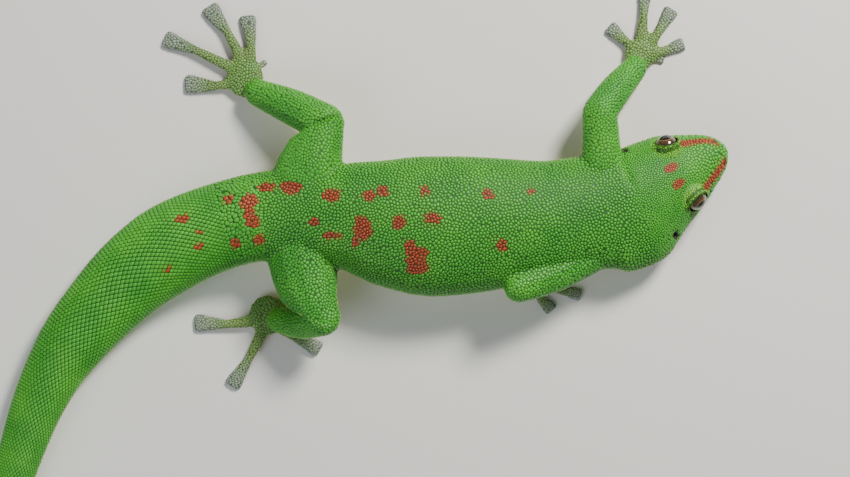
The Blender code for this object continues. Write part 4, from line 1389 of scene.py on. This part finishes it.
def eyeBall(name, at, look):
    sphere = bmesh.new()
    around, along = irisSettings["segments"]
    bmesh.ops.create_uvsphere(sphere, u_segments=around, v_segments=along, radius=1)
    bmesh.ops.triangulate(sphere, faces=sphere.faces)
    sphere.verts.index_update()
    local = np.array([v.co for v in sphere.verts])
    faces = np.array([[v.index for v in f.verts] for f in sphere.faces])
    sphere.free()
    # Blender lists the faces in another order on each run, so they are sorted.
    faces = np.array([np.roll(face, -face.argmin()) for face in faces])
    faces = faces[np.lexsort(faces.T[::-1])]
    bulge = 1 + irisSettings["bulge"] * np.clip(local[:, 2], 0, 1) ** 6
    turn = np.array(Vector(look).to_track_quat("Z", "Y").to_matrix())
    eye = meshFrom(name, at + local * (bulge * eyeSettings["radius"])[:, None] @ turn.T, faces)
    angle = np.degrees(np.arccos(np.clip(local[:, 2], -1, 1)))
    spin = np.arctan2(local[:, 1], local[:, 0])
    streak = (0.75 + 0.25 * np.sin(spin * 23 + 3 * np.sin(spin * 5)))[:, None]
    onIris = smoothStep(angle, *irisSettings["irisFrom"])
    tone = mixed(np.array([irisSettings["pupil"]]), irisSettings["iris"] * streak, onIris)
    onRing = hump(angle, irisSettings["ringAt"], irisSettings["ringWide"])
    tone = mixed(tone, irisSettings["ring"] * streak, onRing * 0.8)
    outside = smoothStep(angle, *irisSettings["surroundFrom"])
    tone = mixed(tone, np.array([irisSettings["surround"]]), outside)
    setColour(eye.data, "tint", tone)
    eye.data.materials.append(newMaterial(name, irisSettings["look"])[0])
    return eye


eyes = {
    name: eyeBall("gecko_" + name, at, look)
    for name, at, look in zip(("eye_left", "eye_right"), eyeCentres, eyeLooks)
}
stamp("eyes")

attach(skin, "root")
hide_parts(*flesh)
for thing in coat:
    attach(thing, "root")
for thing in (padFolds, padSheets):
    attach(thing, "root")
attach(bowls, "root")
for name, thing in eyes.items():
    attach(thing, "root")
    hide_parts(name)


# Stage: a plain floor, soft light from above, a weaker one from below, and the camera straight above.
stageSettings = {
    "halfSide": 900, "look": {"Base Color": (0.60, 0.59, 0.56, 1), "Roughness": 0.8},
    "sky": {"Color": (0.75, 0.80, 0.85, 1), "Strength": 0.30},
}


# A plain colour above, and clear from below, so that the belly can be looked at through the floor. Shadow rays
# pass it, so the light below reaches the belly.
def floorMaterial():
    made, shaderNodes, links, shader = newMaterial("floor", stageSettings["look"], tinted=False)
    facing, ray = shaderNodes.new("ShaderNodeNewGeometry"), shaderNodes.new("ShaderNodeLightPath")
    clear, either = shaderNodes.new("ShaderNodeBsdfTransparent"), shaderNodes.new("ShaderNodeMixShader")
    share = shaderNodes.new("ShaderNodeMath")
    share.operation = "MAXIMUM"
    links.new(facing.outputs["Backfacing"], share.inputs[0])
    links.new(ray.outputs["Is Shadow Ray"], share.inputs[1])
    links.new(share.outputs[0], either.inputs["Fac"])
    links.new(shader.outputs["BSDF"], either.inputs[1])
    links.new(clear.outputs["BSDF"], either.inputs[2])
    links.new(either.outputs["Shader"], shaderNodes["Material Output"].inputs["Surface"])
    return made


floorCorners = np.array([(-1, -1, 0), (1, -1, 0), (1, 1, 0), (-1, 1, 0)]) * stageSettings["halfSide"]
floor = meshFrom("floor", floorCorners, [(0, 1, 2, 3)])
floor.data.materials.append(floorMaterial())
floor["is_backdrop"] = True


# Place and size in metres, power in watts, and colour. Each light looks at the middle of the frame.
lights = {
    "key": ((0.30, 0.40, 0.44), 0.16, 8.5, (1.0, 0.97, 0.92)),
    "fill": ((-0.40, -0.30, 0.40), 0.50, 2.4, (0.90, 0.95, 1.0)),
    "under": ((0.10, -0.15, -0.45), 0.40, 2.2, (1.0, 0.98, 0.94)),
}
for name, (place, size, watts, colour) in lights.items():
    light = bpy.data.lights.new(name, "AREA")
    light.energy = watts
    light.size = size
    light.color = colour
    lamp = linked(name, light)
    lamp.location = place
    lamp.rotation_euler = (-Vector(place)).to_track_quat("-Z", "Y").to_euler()

world = bpy.data.worlds.new("studio")
world.use_nodes = True
setInputs(world.node_tree.nodes["Background"], stageSettings["sky"])
bpy.context.scene.world = world

# The camera looks straight down with the photo's framing: across is the photo's width in metres. The framing is
# mirrored, because the photo looks through the pane from below and this looks from above.
cameraSettings = {"level": 4.0, "height": 0.60, "sensor": 36, "across": 0.2125, "nearest": 0.01}
photoCentre = (np.array(photoSettings["centre"]) - photoSettings["snout"]) * -photoSettings["pixel"] + frameShift
target = np.array([*photoCentre, cameraSettings["level"]]) * milli
camera = bpy.data.cameras.new("camera")
camera.sensor_width = cameraSettings["sensor"]
camera.lens = cameraSettings["sensor"] * cameraSettings["height"] / cameraSettings["across"]
camera.clip_start = cameraSettings["nearest"]
view = linked("camera", camera)
view.location = (target[0], target[1], target[2] + cameraSettings["height"])
bpy.context.scene.camera = view

atEnd = [[float(x) for x in corner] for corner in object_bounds()]
stamp(f"CAD {atStart}, visual {atEnd}")
